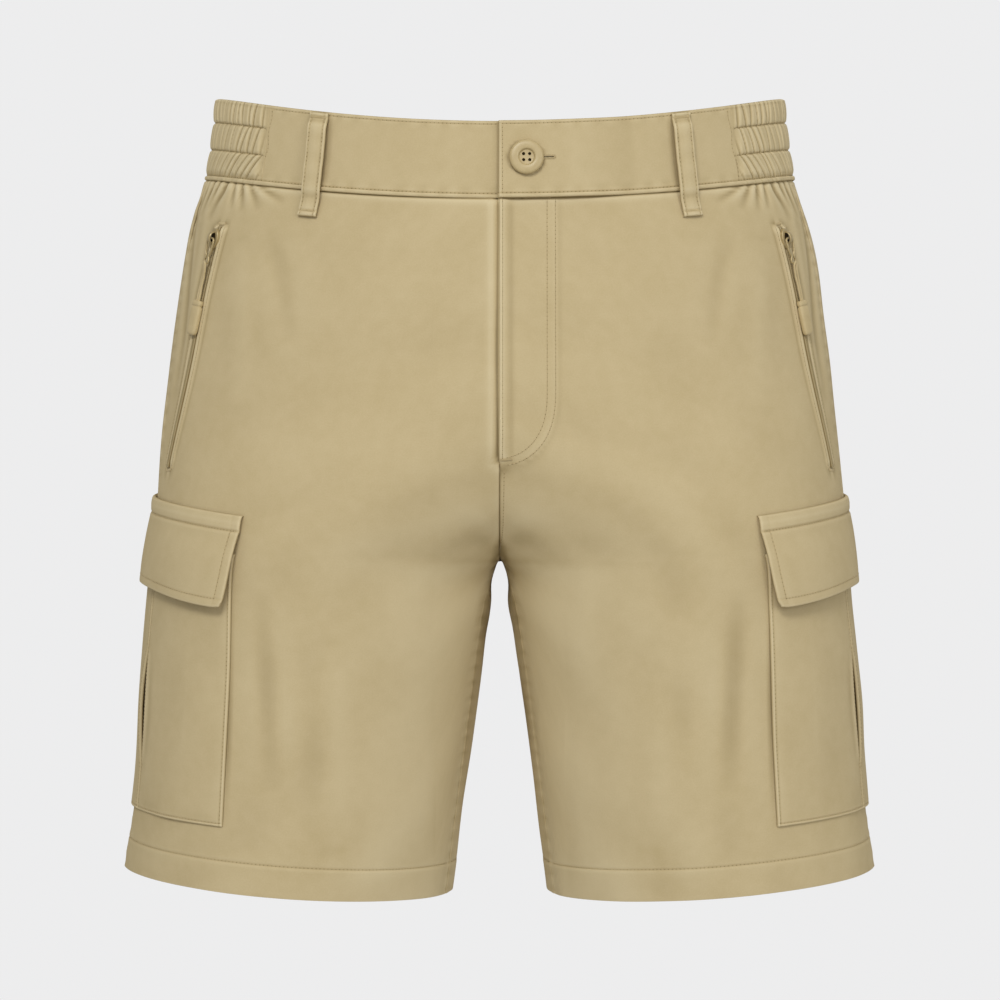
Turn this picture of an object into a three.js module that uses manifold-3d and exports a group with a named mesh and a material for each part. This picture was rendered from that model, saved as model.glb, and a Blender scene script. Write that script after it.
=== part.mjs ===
// Cargo shorts, filled out as if worn. Millimetres, +Z up, the front towards -Y, the wearer's left towards +X.
// The origin is the middle of the waist opening, at the height of its sides.
//
// A place on the cloth is given by an angle and a level. The angle is 0 at the outside of a leg, grows towards
// the front and is negative towards the back. The level is the distance down from the waist edge. A lift moves
// a point out of the cloth along its normal.

import * as THREE from "three";
import { mergeVertices } from "three/addons/utils/BufferGeometryUtils.js";
import Module from "manifold-3d";

const wasm = await Module();
wasm.setup();

// Driving dimensions.
const CLOTH = 1.6; // one panel
const BAND = 2.4; // the waistband, folded double
const SEAM_GAP = 0.3;
const LYING_GAP = 0.6; // under what is sewn flat on a panel

const HEM_LEVEL = 480;
const CROTCH_LEVEL = 281;
const FORK_LEVEL = 150; // where the legs start to part
const WAIST_SEAM_LEVEL = 49.5;
const FRONT_DIP = 28.7; // the waist edge at the middle of the front lies this far below its sides
const BACK_RISE = 2;
const LEG_TILT = 8; // how far the hem's outside lies above, and its inside below, its middle
const LEG_TILT_LEVEL = 150;

const SIDE_SEAM = 10; // degrees
const INSEAM = 163;
const ELASTIC_FRONT = 38.5;
const ELASTIC_BACK = -50;

// Half the width, the depth in front and the depth behind, all from the middle, down one leg.
const FORM = [
  { level: -4, side: 175.0, front: 112, back: 112 },
  { level: 22, side: 176.4, front: 112.5, back: 113.5 },
  { level: 49.5, side: 181.6, front: 113.5, back: 117 },
  { level: 68, side: 187.6, front: 114.5, back: 121 },
  { level: 87, side: 192.4, front: 115.5, back: 126 },
  { level: 124, side: 199, front: 117.5, back: 133 },
  { level: 180, side: 206, front: 119, back: 137 },
  { level: 235, side: 211, front: 117, back: 132 },
  { level: 281, side: 213.6, front: 112, back: 122 },
  { level: 310, side: 215.4, front: 109, back: 117 },
  { level: 372, side: 219.6, front: 105, back: 110 },
  { level: 434, side: 225, front: 102, back: 106 },
  { level: 480, side: 231, front: 100, back: 104 },
];

// The gap between the legs: half its slope, and the round top of its arch.
const GAP_SLOPE = 0.133;
const GAP_ARCH = 2.6;
const GAP_ARCH_DROP = 5;

// Levels of the rows of points down a leg panel, below the waist seam.
const PANEL_LEVELS = [60, 74, 95, 120, 148, 174, 198, 220, 240, 257, 270, 281, 292, 312, 340, 375, 410, 445, 480];

// Folds that the elastic throws into the panels below it.
const FOLD_HEIGHT = 1.3;
const FOLD_END_LEVEL = 76;
const FRONT_FOLD_COLUMNS = 6;
const BACK_FOLD_COLUMNS = 12;
const PLAIN_COLUMNS = 8;

// The three channels of the elastic side pieces, with how each one's gathers lean and swell.
const GATHERS = 26;
const GATHER_HEIGHT = 1.5;
const CHANNELS = [
  { from: 0, to: 14.8, lean: 0.02, swell: 0.9, phase: 0.4 },
  { from: 14.8, to: 31.6, lean: -0.03, swell: 1.1, phase: 2.1 },
  { from: 31.6, to: 49.5, lean: 0.12, swell: 0.7, phase: 4.4 },
];
const CHANNEL_STEPS = [0.12, 0.5, 0.88]; // rows of points between two lines of stitching

const UNDERLAP = 99.5; // degrees that the right front band reaches under the left one
const OVERLAP_START = 64;
const OVERLAP_FULL = 77;

const BUTTON = { angle: 85.1, level: 24.3, radius: 10, rim: 3.6, dish: 2.3, hole: 0.95, spacing: 1.8 };

// Belt loops: how far the cloth of one stands off behind it, down its length.
const LOOP_WIDTH = 12.5;
const LOOP_CLOTH = 2;
const LOOP_PATH = [
  { level: 1.2, gap: 0.35 },
  { level: 6, gap: 0.6 },
  { level: 9.5, gap: 3.2 },
  { level: 15, gap: 4.9 },
  { level: 28, gap: 5.3 },
  { level: 41, gap: 4.9 },
  { level: 50, gap: 3.2 },
  { level: 55, gap: 0.7 },
  { level: 67, gap: 0.35 },
];
const LOOPS = [
  { name: "belt_loop_front_left", side: 1, angle: 53 },
  { name: "belt_loop_front_right", side: -1, angle: 53 },
  { name: "belt_loop_back_left", side: 1, angle: -57 },
  { name: "belt_loop_back_right", side: -1, angle: -57 },
  { name: "belt_loop_back_centre", side: 1, angle: -90 },
];

// Side pocket zip: a tape with its closed teeth along a slanting line.
const ZIP = { top: 78, bottom: 229, angle: 28.6, turn: -0.0465, width: 8.6, tape: 0.8, teeth: 1.9, chain: 3.2 };
const SLIDER = { level: 86, width: 8.4, length: 13, height: 2.2, post: 0.8, eye: 2.6, bridge: 2.6 };
const PULL = {
  bar: 1.3,
  frameWidth: 7.2,
  frameHole: 4.6,
  frameHoleLength: 7.6,
  frameLength: 16.5,
  eye: 1.3,
  cordWidth: 2.6,
  cordEnd: 38,
  gripWidth: 9,
  gripHeight: 4,
  gripEnd: 59,
  restLevel: 134,
  restLift: 5,
};

// Cargo pocket: a front and a rear piece, with the side entry left open in the seam between them.
const POCKET = {
  cloth: 1.5,
  top: 270,
  bottom: 442,
  seam: 22,
  frontEdge: 63.2,
  frontEdgeTurn: 0.031,
  rear: -34,
  slitTop: 342,
  slitBottom: 413,
  slitWidth: 3.2,
};
const POCKET_LEVELS = [270, 290, 310, 328, 342, 350, 362, 378, 394, 406, 413, 427, 442];
const POCKET_COLUMNS = 8;

// Flap: its upper and lower edges sink towards the front, and it stands away from the leg below.
const FLAP = {
  cloth: 2.2,
  top: { level: 246.4, round: 8.6, slope: 7 },
  low: { level: 301.3, round: 3, slope: 5.5 },
  frontTop: 59.5,
  frontLow: 63.5,
  rearTop: -29,
  rearLow: -32,
  frontFlare: 0.55,
};
const FLAP_LIFTS = [
  { down: 0, lift: 2.7 },
  { down: 0.16, lift: 3.2 },
  { down: 0.45, lift: 5.2 },
  { down: 0.75, lift: 6.6 },
  { down: 1, lift: 6.9 },
];
const FLAP_COLUMNS = 14;

// Materials.
const cloth = new THREE.MeshStandardMaterial({ color: 0xb8a77a, roughness: 0.92, metalness: 0 });
const plastic = new THREE.MeshStandardMaterial({ color: 0xab9868, roughness: 0.5, metalness: 0 });
const metal = new THREE.MeshStandardMaterial({ color: 0xa8976b, roughness: 0.45, metalness: 0.4 });
const rubber = new THREE.MeshStandardMaterial({ color: 0xb5a376, roughness: 0.6, metalness: 0 });

const group = new THREE.Group();

function add(name, geometry, material) {
  const mesh = new THREE.Mesh(geometry, material);
  mesh.name = name;
  group.add(mesh);
}

// Share of the way from one value to another, kept between 0 and 1, and the same eased at both ends.
const share = (value, from, to) => THREE.MathUtils.clamp((value - from) / (to - from), 0, 1);
const eased = (value, from, to) => THREE.MathUtils.smoothstep(share(value, from, to), 0, 1);
const mix = (a, b, t) => a + (b - a) * t;

// A smooth curve through one named column of a table, by its first column.
function along(table, key, column, value) {
  const last = table.length - 1;
  let i = 0;
  while (i < last - 1 && value > table[i + 1][key]) i += 1;
  const slope = (j) => {
    const before = table[Math.max(j - 1, 0)];
    const after = table[Math.min(j + 1, last)];
    return (after[column] - before[column]) / (after[key] - before[key]);
  };
  const span = table[i + 1][key] - table[i][key];
  const t = (value - table[i][key]) / span;
  const level = mix(table[i][column], table[i + 1][column], t * t * (3 - 2 * t));
  const bend = slope(i) * t * (1 - t) ** 2 - slope(i + 1) * t * t * (1 - t);
  return level + span * bend;
}

// How far the section has turned from one half of a waist, 0, into a whole leg, 1.
const fork = (level) => share(level, FORK_LEVEL, CROTCH_LEVEL) ** 2;

function legGap(level) {
  const drop = Math.max(level - CROTCH_LEVEL, 0);
  return GAP_SLOPE * drop + GAP_ARCH * (1 - Math.exp(-drop / GAP_ARCH_DROP));
}

function heightOf(angle, level) {
  const sine = Math.sin(THREE.MathUtils.degToRad(Math.abs(angle)));
  const waist = angle > 0 ? -FRONT_DIP * (0.35 * sine + 0.65 * sine ** 2) : BACK_RISE * sine ** 2;
  const tilt = LEG_TILT * Math.cos(THREE.MathUtils.degToRad(angle)) * share(level, LEG_TILT_LEVEL, HEM_LEVEL);
  return -level + waist * (1 - share(level, 0, CROTCH_LEVEL)) + tilt;
}

// The angle of the garment's middle line, where a half of it ends, at a level above the crotch.
const middleAngle = (level) => THREE.MathUtils.radToDeg(Math.acos(-fork(level)));

// A point of the form on the left, before any lift.
function barePoint(angle, level) {
  const turn = THREE.MathUtils.degToRad(angle);
  const outside = along(FORM, "level", "side", level);
  const half = level > CROTCH_LEVEL ? (outside - legGap(level)) / 2 : outside / (1 + fork(level));
  const depth = along(FORM, "level", Math.sin(turn) > 0 ? "front" : "back", level);
  return new THREE.Vector3(
    outside - half + half * Math.cos(turn),
    -depth * Math.sin(turn),
    heightOf(angle, level),
  );
}

function normalAt(angle, level) {
  const step = 0.2;
  const round = barePoint(angle + step, level).sub(barePoint(angle - step, level));
  const down = barePoint(angle, level + step).sub(barePoint(angle, level - step));
  return round.cross(down).normalize();
}

// A point on either side: side is 1 on the left and -1 on the right.
function formPoint(side, angle, level, lift = 0) {
  const point = barePoint(angle, level).addScaledVector(normalAt(angle, level), lift);
  point.x *= side;
  return point;
}

// Degrees that take up a length round the form.
function degreesFor(length, angle, level) {
  return length / barePoint(angle + 0.5, level).distanceTo(barePoint(angle - 0.5, level));
}

// Triangles between two lines of vertices, which may hold different numbers of them.
function lace(first, second) {
  const faces = [];
  let i = 0;
  let j = 0;
  while (i < first.length - 1 || j < second.length - 1) {
    const ahead = (i + 1) / (first.length - 1) <= (j + 1) / (second.length - 1);
    if (i < first.length - 1 && (ahead || j === second.length - 1)) {
      faces.push(first[i], second[j], first[i + 1]);
      i += 1;
    } else {
      faces.push(first[i], second[j], second[j + 1]);
      j += 1;
    }
  }
  return faces;
}

function signedVolume(points, faces) {
  let sum = 0;
  for (let i = 0; i < faces.length; i += 3) {
    const [a, b, c] = [points[faces[i]], points[faces[i + 1]], points[faces[i + 2]]];
    sum += a.dot(b.clone().cross(c));
  }
  return sum / 6;
}

// A wall of cloth: a grid of outer points, a grid of inner ones that may have fewer rows, and four borders.
function wall(columns, outerRows, innerRows, outerPoint, innerPoint) {
  const points = [];
  const grid = (rows, place) =>
    rows.map((row) =>
      columns.map((column) => {
        points.push(place(column, row));
        return points.length - 1;
      }),
    );
  const outer = grid(outerRows, outerPoint);
  const inner = grid(innerRows, innerPoint);
  const faces = [];
  for (let i = 0; i < outer.length - 1; i += 1) faces.push(...lace(outer[i], outer[i + 1]));
  for (let i = 0; i < inner.length - 1; i += 1) faces.push(...lace(inner[i + 1], inner[i]));
  const end = columns.length - 1;
  faces.push(...lace(inner[0], outer[0]));
  faces.push(...lace(outer[outer.length - 1], inner[inner.length - 1]));
  faces.push(...lace(outer.map((row) => row[0]), inner.map((row) => row[0])));
  faces.push(...lace(inner.map((row) => row[end]), outer.map((row) => row[end])));
  if (signedVolume(points, faces) < 0) faces.reverse();
  const geometry = new THREE.BufferGeometry().setFromPoints(points);
  return geometry.setIndex(faces);
}

const steps = (count) => Array.from({ length: count + 1 }, (_, i) => i / count);

// Leg panels.

function inseamAngle(level) {
  return INSEAM + (180 - INSEAM) * Math.exp(-(level - CROTCH_LEVEL) / 12);
}

function frontEnd(level) {
  return level > CROTCH_LEVEL ? inseamAngle(level) : middleAngle(level);
}

function backEnd(level) {
  return level > CROTCH_LEVEL ? inseamAngle(level) - 360 : -middleAngle(level);
}

// The points of a panel across itself, from 0 at the side seam to 1, closer together below the elastic.
function panelColumns(elasticEnd, foldColumns) {
  const foldShare = (elasticEnd - SIDE_SEAM) / (Math.sign(elasticEnd) * 90 - SIDE_SEAM);
  const folded = steps(foldColumns).map((t) => t * foldShare);
  const plain = steps(PLAIN_COLUMNS).map((t) => mix(foldShare, 1, t));
  return folded.concat(plain.slice(1));
}

function foldLift(index, foldColumns, level) {
  if (index >= foldColumns || index % 2 === 0) return 0;
  const uneven = 0.75 + 0.25 * Math.sin(2.3 * index);
  return FOLD_HEIGHT * uneven * (1 - eased(level, WAIST_SEAM_LEVEL, FOLD_END_LEVEL));
}

function panel(side, endAngle, elasticEnd, foldColumns) {
  const columns = panelColumns(elasticEnd, foldColumns);
  const rows = [WAIST_SEAM_LEVEL + SEAM_GAP / 2, ...PANEL_LEVELS];
  const place = (column, level, lift) => {
    const seam = degreesFor(SEAM_GAP / 2, SIDE_SEAM, level);
    const turn = Math.sign(elasticEnd);
    const angle = mix(SIDE_SEAM + seam * turn, endAngle(level) - seam * turn, column);
    const point = formPoint(side, angle, level, lift);
    const clear = Math.max(point.x * side, SEAM_GAP / 2);
    point.x = side * clear;
    return point;
  };
  return wall(
    columns,
    rows,
    rows,
    (column, level) => place(column, level, foldLift(columns.indexOf(column), foldColumns, level)),
    (column, level) => place(column, level, -CLOTH),
  );
}

function addPanels() {
  for (const [name, side] of [["left", 1], ["right", -1]]) {
    add(`front_${name}`, panel(side, frontEnd, ELASTIC_FRONT, FRONT_FOLD_COLUMNS), cloth);
    add(`back_${name}`, panel(side, backEnd, ELASTIC_BACK, BACK_FOLD_COLUMNS), cloth);
  }
}

// Waistband.

const BAND_ROWS = [0, 8, 24, 40, WAIST_SEAM_LEVEL - SEAM_GAP / 2];

function bandPiece(side, from, to, count, lift = () => 0) {
  const columns = steps(count).map((t) => mix(from, to, t));
  return wall(
    columns,
    BAND_ROWS,
    BAND_ROWS,
    (angle, level) => formPoint(side, angle, level, lift(angle)),
    (angle, level) => formPoint(side, angle, level, lift(angle) - BAND),
  );
}

// The left end lies over the underlap, so it is lifted by the cloth beneath it.
const overlapLift = (angle) => (BAND + SEAM_GAP) * eased(angle, OVERLAP_START, OVERLAP_FULL);

function elasticPiece(side) {
  const rows = [];
  for (const channel of CHANNELS) {
    rows.push({ level: channel.from, channel, swell: 0 });
    for (const t of CHANNEL_STEPS)
      rows.push({ level: mix(channel.from, channel.to, t), channel, swell: Math.sin(Math.PI * t) });
  }
  const lowest = CHANNELS[CHANNELS.length - 1];
  rows.push({ level: WAIST_SEAM_LEVEL - SEAM_GAP / 2, channel: lowest, swell: 0 });
  const columns = steps(2 * GATHERS);
  const seam = degreesFor(SEAM_GAP, ELASTIC_FRONT, 0);
  const angleOf = (column) => mix(ELASTIC_FRONT - seam, ELASTIC_BACK + seam, column);
  const outer = (column, row) => {
    const index = Math.round(column * 2 * GATHERS);
    const free = Math.min(1, 8 * column, 8 * (1 - column));
    const middle = (row.channel.from + row.channel.to) / 2;
    const wander = 0.5 * Math.sin(1.7 * index + row.channel.phase);
    const angle = angleOf(column) + free * row.swell * (row.channel.lean * (row.level - middle) + wander);
    const uneven = 0.75 + 0.25 * Math.sin(2.9 * index + row.channel.phase);
    const crest = index % 2 ? GATHER_HEIGHT * uneven : 0;
    return formPoint(side, angle, row.level, free * row.swell * (crest + row.channel.swell));
  };
  const inner = (column, row) => formPoint(side, angleOf(column), row.level, -BAND);
  return wall(columns, rows, [rows[0], rows[rows.length - 1]], outer, inner);
}

function addWaistband() {
  const seam = degreesFor(SEAM_GAP, 90, 0);
  add("waistband_front_left", bandPiece(1, ELASTIC_FRONT, 90 - seam, 12, overlapLift), cloth);
  add("waistband_front_right", bandPiece(-1, ELASTIC_FRONT, UNDERLAP, 12), cloth);
  add("waistband_back", bandPiece(1, ELASTIC_BACK, -180 - ELASTIC_BACK, 14), cloth);
  add("waistband_elastic_left", elasticPiece(1), cloth);
  add("waistband_elastic_right", elasticPiece(-1), cloth);
}

// Belt loops: strips that follow the band, standing off it along their middle.

function beltLoop({ side, angle }) {
  const place = (column, row, lift) => {
    const reach = degreesFor(LOOP_WIDTH / 2, angle, row.level);
    return formPoint(side, angle + column * reach, row.level, lift);
  };
  return wall(
    [-1, 0, 1],
    LOOP_PATH,
    LOOP_PATH,
    (column, row) => place(column, row, row.gap + LOOP_CLOTH),
    (column, row) => place(column, row, row.gap),
  );
}

// Hard trims are made flat at the origin, joined or cut there, then set on the cloth.

function solid(geometry) {
  const bare = geometry.index ? geometry.toNonIndexed() : geometry.clone();
  bare.deleteAttribute("normal");
  bare.deleteAttribute("uv");
  const merged = mergeVertices(bare, 1e-4);
  const made = new wasm.Mesh({
    numProp: 3,
    vertProperties: merged.attributes.position.array,
    triVerts: new Uint32Array(merged.index.array),
  });
  return new wasm.Manifold(made);
}

function geometryOf(made) {
  const { vertProperties, triVerts, numProp, numVert } = made.getMesh();
  const positions = new Float32Array(numVert * 3);
  for (let i = 0; i < numVert; i += 1)
    positions.set(vertProperties.subarray(i * numProp, i * numProp + 3), i * 3);
  const geometry = new THREE.BufferGeometry();
  geometry.setAttribute("position", new THREE.BufferAttribute(positions, 3));
  return geometry.setIndex(new THREE.BufferAttribute(triVerts, 1));
}

// A turned pose: x across, y down the garment's surface reversed, z out of the cloth.
function frameAt(origin, down, out) {
  const y = down.clone().negate().normalize();
  const z = out.clone().addScaledVector(y, -out.dot(y)).normalize();
  const x = y.clone().cross(z);
  return new THREE.Matrix4().makeBasis(x, y, z).setPosition(origin);
}

function outward(side, angle, level) {
  return formPoint(side, angle, level, 1).sub(formPoint(side, angle, level));
}

function button() {
  const { radius, rim, dish, hole, spacing } = BUTTON;
  const profile = [
    [0, 0],
    [radius - 1.4, 0],
    [radius - 0.3, 0.7],
    [radius, 1.7],
    [radius - 0.6, rim - 0.5],
    [radius - 1.8, rim],
    [radius - 3.2, rim - 0.3],
    [radius - 4.2, dish],
    [0, dish - 0.2],
  ].map(([x, y]) => new THREE.Vector2(x, y));
  let made = solid(new THREE.LatheGeometry(profile, 28).rotateX(Math.PI / 2));
  for (const x of [-spacing, spacing])
    for (const y of [-spacing, spacing]) {
      const drill = new THREE.CylinderGeometry(hole, hole, 3 * rim, 8).rotateX(Math.PI / 2);
      made = made.subtract(solid(drill.translate(x, y, 0)));
    }
  const { angle, level } = BUTTON;
  const lift = overlapLift(angle) + SEAM_GAP + 0.2;
  const down = formPoint(1, angle, level + 5).sub(formPoint(1, angle, level - 5));
  return geometryOf(made).applyMatrix4(frameAt(formPoint(1, angle, level, lift), down, outward(1, angle, level)));
}

// Side pocket zips.

const zipAngle = (level) => ZIP.angle + ZIP.turn * (level - ZIP.top);

function zipTape(side) {
  const half = ZIP.width / 2;
  const chain = ZIP.chain / 2;
  const columns = [
    { across: -half, lift: ZIP.tape },
    { across: -chain - 0.3, lift: ZIP.tape },
    { across: -chain, lift: ZIP.teeth },
    { across: chain, lift: ZIP.teeth },
    { across: chain + 0.3, lift: ZIP.tape },
    { across: half, lift: ZIP.tape },
  ];
  const rows = steps(10).map((t) => mix(ZIP.top, ZIP.bottom, t));
  const place = (column, level, lift) => {
    const angle = zipAngle(level);
    return formPoint(side, angle + degreesFor(column.across, angle, level), level, LYING_GAP + lift);
  };
  return wall(
    columns,
    rows,
    rows,
    (column, level) => place(column, level, column.lift),
    (column, level) => place(column, level, 0),
  );
}

const SLIDER_BASE = LYING_GAP + ZIP.teeth + SEAM_GAP;
const HINGE_LIFT = SLIDER_BASE + SLIDER.height + SLIDER.eye / 2;

// The middle of the bar that the pull turns on.
function hingePoint(side) {
  return formPoint(side, zipAngle(SLIDER.level), SLIDER.level, HINGE_LIFT);
}

function extruded(outline, holes, depth) {
  const shape = new THREE.Shape(outline.map(([x, y]) => new THREE.Vector2(x, y)));
  shape.holes = holes;
  const geometry = new THREE.ExtrudeGeometry(shape, { depth, bevelEnabled: false, curveSegments: 4 });
  return geometry.translate(0, 0, -depth / 2);
}

function rectangle(x0, x1, y0, y1) {
  return [
    [x0, y0],
    [x1, y0],
    [x1, y1],
    [x0, y1],
  ];
}

const holePath = (outline) => new THREE.Path(outline.map(([x, y]) => new THREE.Vector2(x, y)));

// The slider: a body with narrower ends and, over it, a bridge with the eye that holds the pull's bar.
function zipSlider(side) {
  const { width, length, height, post, eye, bridge } = SLIDER;
  const outline = [
    [-width / 2, length * 0.2],
    [-width / 4, -length / 2],
    [width / 4, -length / 2],
    [width / 2, length * 0.2],
    [width / 3, length / 2],
    [-width / 3, length / 2],
  ];
  const body = extruded(outline, [], height).translate(0, 0, -eye / 2 - height / 2);
  const reach = eye / 2 + post;
  const opening = holePath(rectangle(-eye / 2, eye / 2, -eye / 2, eye / 2));
  const arch = extruded(rectangle(-reach, reach, -eye / 2 - 0.4, reach), [opening], bridge);
  arch.rotateX(Math.PI / 2).rotateZ(Math.PI / 2);
  const made = solid(body).add(solid(arch));
  const { level } = SLIDER;
  const down = formPoint(side, zipAngle(level + 7), level + 7).sub(formPoint(side, zipAngle(level - 7), level - 7));
  return geometryOf(made).applyMatrix4(frameAt(hingePoint(side), down, outward(side, zipAngle(level), level)));
}

function roundedBox(width, length, height, round) {
  const shape = new THREE.Shape();
  const x = width / 2 - round;
  const y = length / 2 - round;
  shape.absarc(x, y, round, 0, Math.PI / 2);
  shape.absarc(-x, y, round, Math.PI / 2, Math.PI);
  shape.absarc(-x, -y, round, Math.PI, 1.5 * Math.PI);
  shape.absarc(x, -y, round, 1.5 * Math.PI, 2 * Math.PI);
  const bevel = height / 4;
  const geometry = new THREE.ExtrudeGeometry(shape, {
    depth: height - 2 * bevel,
    bevelThickness: bevel,
    bevelSize: bevel,
    bevelOffset: -bevel,
    bevelSegments: 1,
    curveSegments: 2,
  });
  return geometry.translate(0, 0, bevel - height / 2);
}

// The pull: a wire frame on the slider's bar, a cord through its eye, and a moulded grip at the end.
function zipPull(side) {
  const { bar, frameWidth, frameHole, frameHoleLength, frameLength, eye, cordWidth, cordEnd } = PULL;
  const half = frameWidth / 2;
  const hole = frameHole / 2;
  const outline = [
    [-half, bar / 2],
    [-half, -frameHoleLength - bar],
    [-half * 0.6, -frameLength],
    [half * 0.6, -frameLength],
    [half, -frameHoleLength - bar],
    [half, bar / 2],
  ];
  const window = holePath(rectangle(-hole, hole, -frameHoleLength, -bar / 2));
  const ring = holePath(steps(7).map((t) => {
    const turn = (t * 7 * 2 * Math.PI) / 8;
    return [eye * Math.cos(turn), eye * Math.sin(turn) - frameLength + 2.4];
  }));
  const frame = extruded(outline, [window, ring], bar);
  const cordStart = frameLength - 2.8;
  const cord = roundedBox(cordWidth, cordEnd + 2 - cordStart, cordWidth * 0.7, cordWidth * 0.45);
  cord.translate(0, -(cordEnd + 2 + cordStart) / 2, 0);
  const { gripWidth, gripHeight, gripEnd } = PULL;
  const grip = roundedBox(gripWidth, gripEnd - cordEnd, gripHeight, 1.8);
  grip.translate(0, -(cordEnd + gripEnd) / 2, 0);
  const made = solid(frame).add(solid(cord)).add(solid(grip));
  return geometryOf(made).applyMatrix4(pullFrame(side));
}

// At rest the pull lies along the zip, its grip just clear of the cloth.
function pullFrame(side) {
  const { restLevel, restLift } = PULL;
  const hinge = hingePoint(side);
  const down = formPoint(side, zipAngle(restLevel), restLevel, restLift).sub(hinge);
  return frameAt(hinge, down, outward(side, zipAngle(SLIDER.level), SLIDER.level));
}

function addZips() {
  for (const [name, side] of [["left", 1], ["right", -1]]) {
    add(`zip_tape_${name}`, zipTape(side), cloth);
    add(`zip_slider_${name}`, zipSlider(side), metal);
    add(`zip_pull_${name}`, zipPull(side), rubber);
  }
}

// Cargo pockets and their flaps.

const pocketEdge = (level) => POCKET.frontEdge + POCKET.frontEdgeTurn * (level - POCKET.top);

function slitHalf(level) {
  return (POCKET.slitWidth / 2) * Math.sin(Math.PI * share(level, POCKET.slitTop, POCKET.slitBottom));
}

function edgeOf(edge, angle) {
  const turn = THREE.MathUtils.degToRad(angle);
  return edge.level + edge.round * (1 - Math.cos(turn)) + edge.slope * Math.sin(turn);
}

function pocketPiece(side, turn, farEdge) {
  const top = (angle) => edgeOf(FLAP.top, angle) - FLAP.top.level;
  const place = (column, level, lift) => {
    const free = degreesFor(SEAM_GAP / 2 + slitHalf(level), POCKET.seam, level);
    const angle = mix(POCKET.seam + turn * free, farEdge(level), column);
    const sunk = top(angle) * (1 - share(level, POCKET.top, POCKET.slitTop));
    return formPoint(side, angle, level + sunk, lift);
  };
  return wall(
    steps(POCKET_COLUMNS),
    POCKET_LEVELS,
    POCKET_LEVELS,
    (column, level) => place(column, level, LYING_GAP + POCKET.cloth),
    (column, level) => place(column, level, LYING_GAP),
  );
}

function flap(side) {
  const place = (column, row, lift) => {
    const angle = mix(
      mix(FLAP.frontTop, FLAP.frontLow, row.down),
      mix(FLAP.rearTop, FLAP.rearLow, row.down),
      column,
    );
    const level = mix(edgeOf(FLAP.top, angle), edgeOf(FLAP.low, angle), row.down);
    const flare = 1 + FLAP.frontFlare * row.down * eased(angle, 0, FLAP.frontLow);
    return formPoint(side, angle, level, row.lift * flare + lift);
  };
  return wall(
    steps(FLAP_COLUMNS),
    FLAP_LIFTS,
    FLAP_LIFTS,
    (column, row) => place(column, row, 0),
    (column, row) => place(column, row, -FLAP.cloth),
  );
}

function addCargoPockets() {
  for (const [name, side] of [["left", 1], ["right", -1]]) {
    add(`cargo_pocket_front_${name}`, pocketPiece(side, 1, pocketEdge), cloth);
    add(`cargo_pocket_rear_${name}`, pocketPiece(side, -1, () => POCKET.rear), cloth);
    add(`cargo_flap_${name}`, flap(side), cloth);
  }
}

addPanels();
addWaistband();
for (const loop of LOOPS) add(loop.name, beltLoop(loop), cloth);
add("button", button(), plastic);
addZips();
addCargoPockets();

export default group;
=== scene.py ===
# %% [markdown]
# # Cargo shorts, filled out as if worn
# The CAD model gives the frame: where every piece sits, how big the garment is and how the zip pulls
# turn. This scene dresses that frame. Each piece of cloth is made again as a fine, slightly uneven sheet on
# the same form, then stitched, and the hard trims are modelled with bmesh.
# We begin by loading the frame and by keeping the box that it fills.

# %% Load the frame
import math

import bmesh
import bpy
import numpy as np
from mathutils import Matrix, Vector


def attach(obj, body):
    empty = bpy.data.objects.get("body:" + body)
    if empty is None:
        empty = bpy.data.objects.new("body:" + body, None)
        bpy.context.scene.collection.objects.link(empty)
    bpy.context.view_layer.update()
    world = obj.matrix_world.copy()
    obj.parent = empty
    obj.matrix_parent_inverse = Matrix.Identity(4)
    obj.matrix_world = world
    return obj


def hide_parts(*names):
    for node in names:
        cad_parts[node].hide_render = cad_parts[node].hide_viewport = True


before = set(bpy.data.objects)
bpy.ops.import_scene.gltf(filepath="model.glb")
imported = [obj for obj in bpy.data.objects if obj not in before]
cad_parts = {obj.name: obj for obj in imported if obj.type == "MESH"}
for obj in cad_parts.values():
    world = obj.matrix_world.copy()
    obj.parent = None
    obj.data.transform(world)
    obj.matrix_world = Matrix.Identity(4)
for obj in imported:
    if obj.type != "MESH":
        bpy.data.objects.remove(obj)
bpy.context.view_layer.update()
MM = 0.001
SIDES = (("left", 1), ("right", -1))

# %% [markdown]
# ## The form that every piece of cloth follows
# A place on the cloth has an angle and a level, as in the CAD model: 0 degrees is the outside of a leg, the
# front is positive and the back negative, and the level is the distance down from the waist edge in
# millimetres. A short table says how wide and deep the garment is at each level. We could model on free
# vertices instead, but two such numbers keep pockets, seams and stitches exactly on the panel they sit on.

# %% Sizes of the form
CROTCH = 281
HEM = 480
WAIST_SEAM = 49.5
SIDE_SEAM = 10
ELASTIC_FRONT = 38.5
ELASTIC_BACK = -50
FORM = np.array([
    # level, half width, depth in front, depth behind
    (-4, 175.0, 112.0, 112.0),
    (22, 176.4, 112.5, 113.5),
    (49.5, 181.6, 113.5, 117.0),
    (68, 187.6, 114.5, 121.0),
    (87, 192.4, 115.5, 126.0),
    (124, 199.0, 117.5, 133.0),
    (180, 206.0, 119.0, 137.0),
    (235, 211.0, 117.0, 132.0),
    (281, 213.6, 112.0, 122.0),
    (310, 215.4, 109.0, 117.0),
    (372, 219.6, 105.0, 110.0),
    (434, 225.0, 102.0, 106.0),
    (480, 231.0, 100.0, 104.0),
])
SIDE, FRONT, BACK = 1, 2, 3

# %% Shares, eases and smooth curves through a table
def share(value, start, end):
    return np.clip((value - start) / (end - start), 0, 1)


def eased(value, start, end):
    part = share(value, start, end)
    return part * part * (3 - 2 * part)


def bump(distance, width):
    """1 on a line, fading to nothing over about twice its width."""
    return np.exp(-(distance / width) ** 2)


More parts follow.
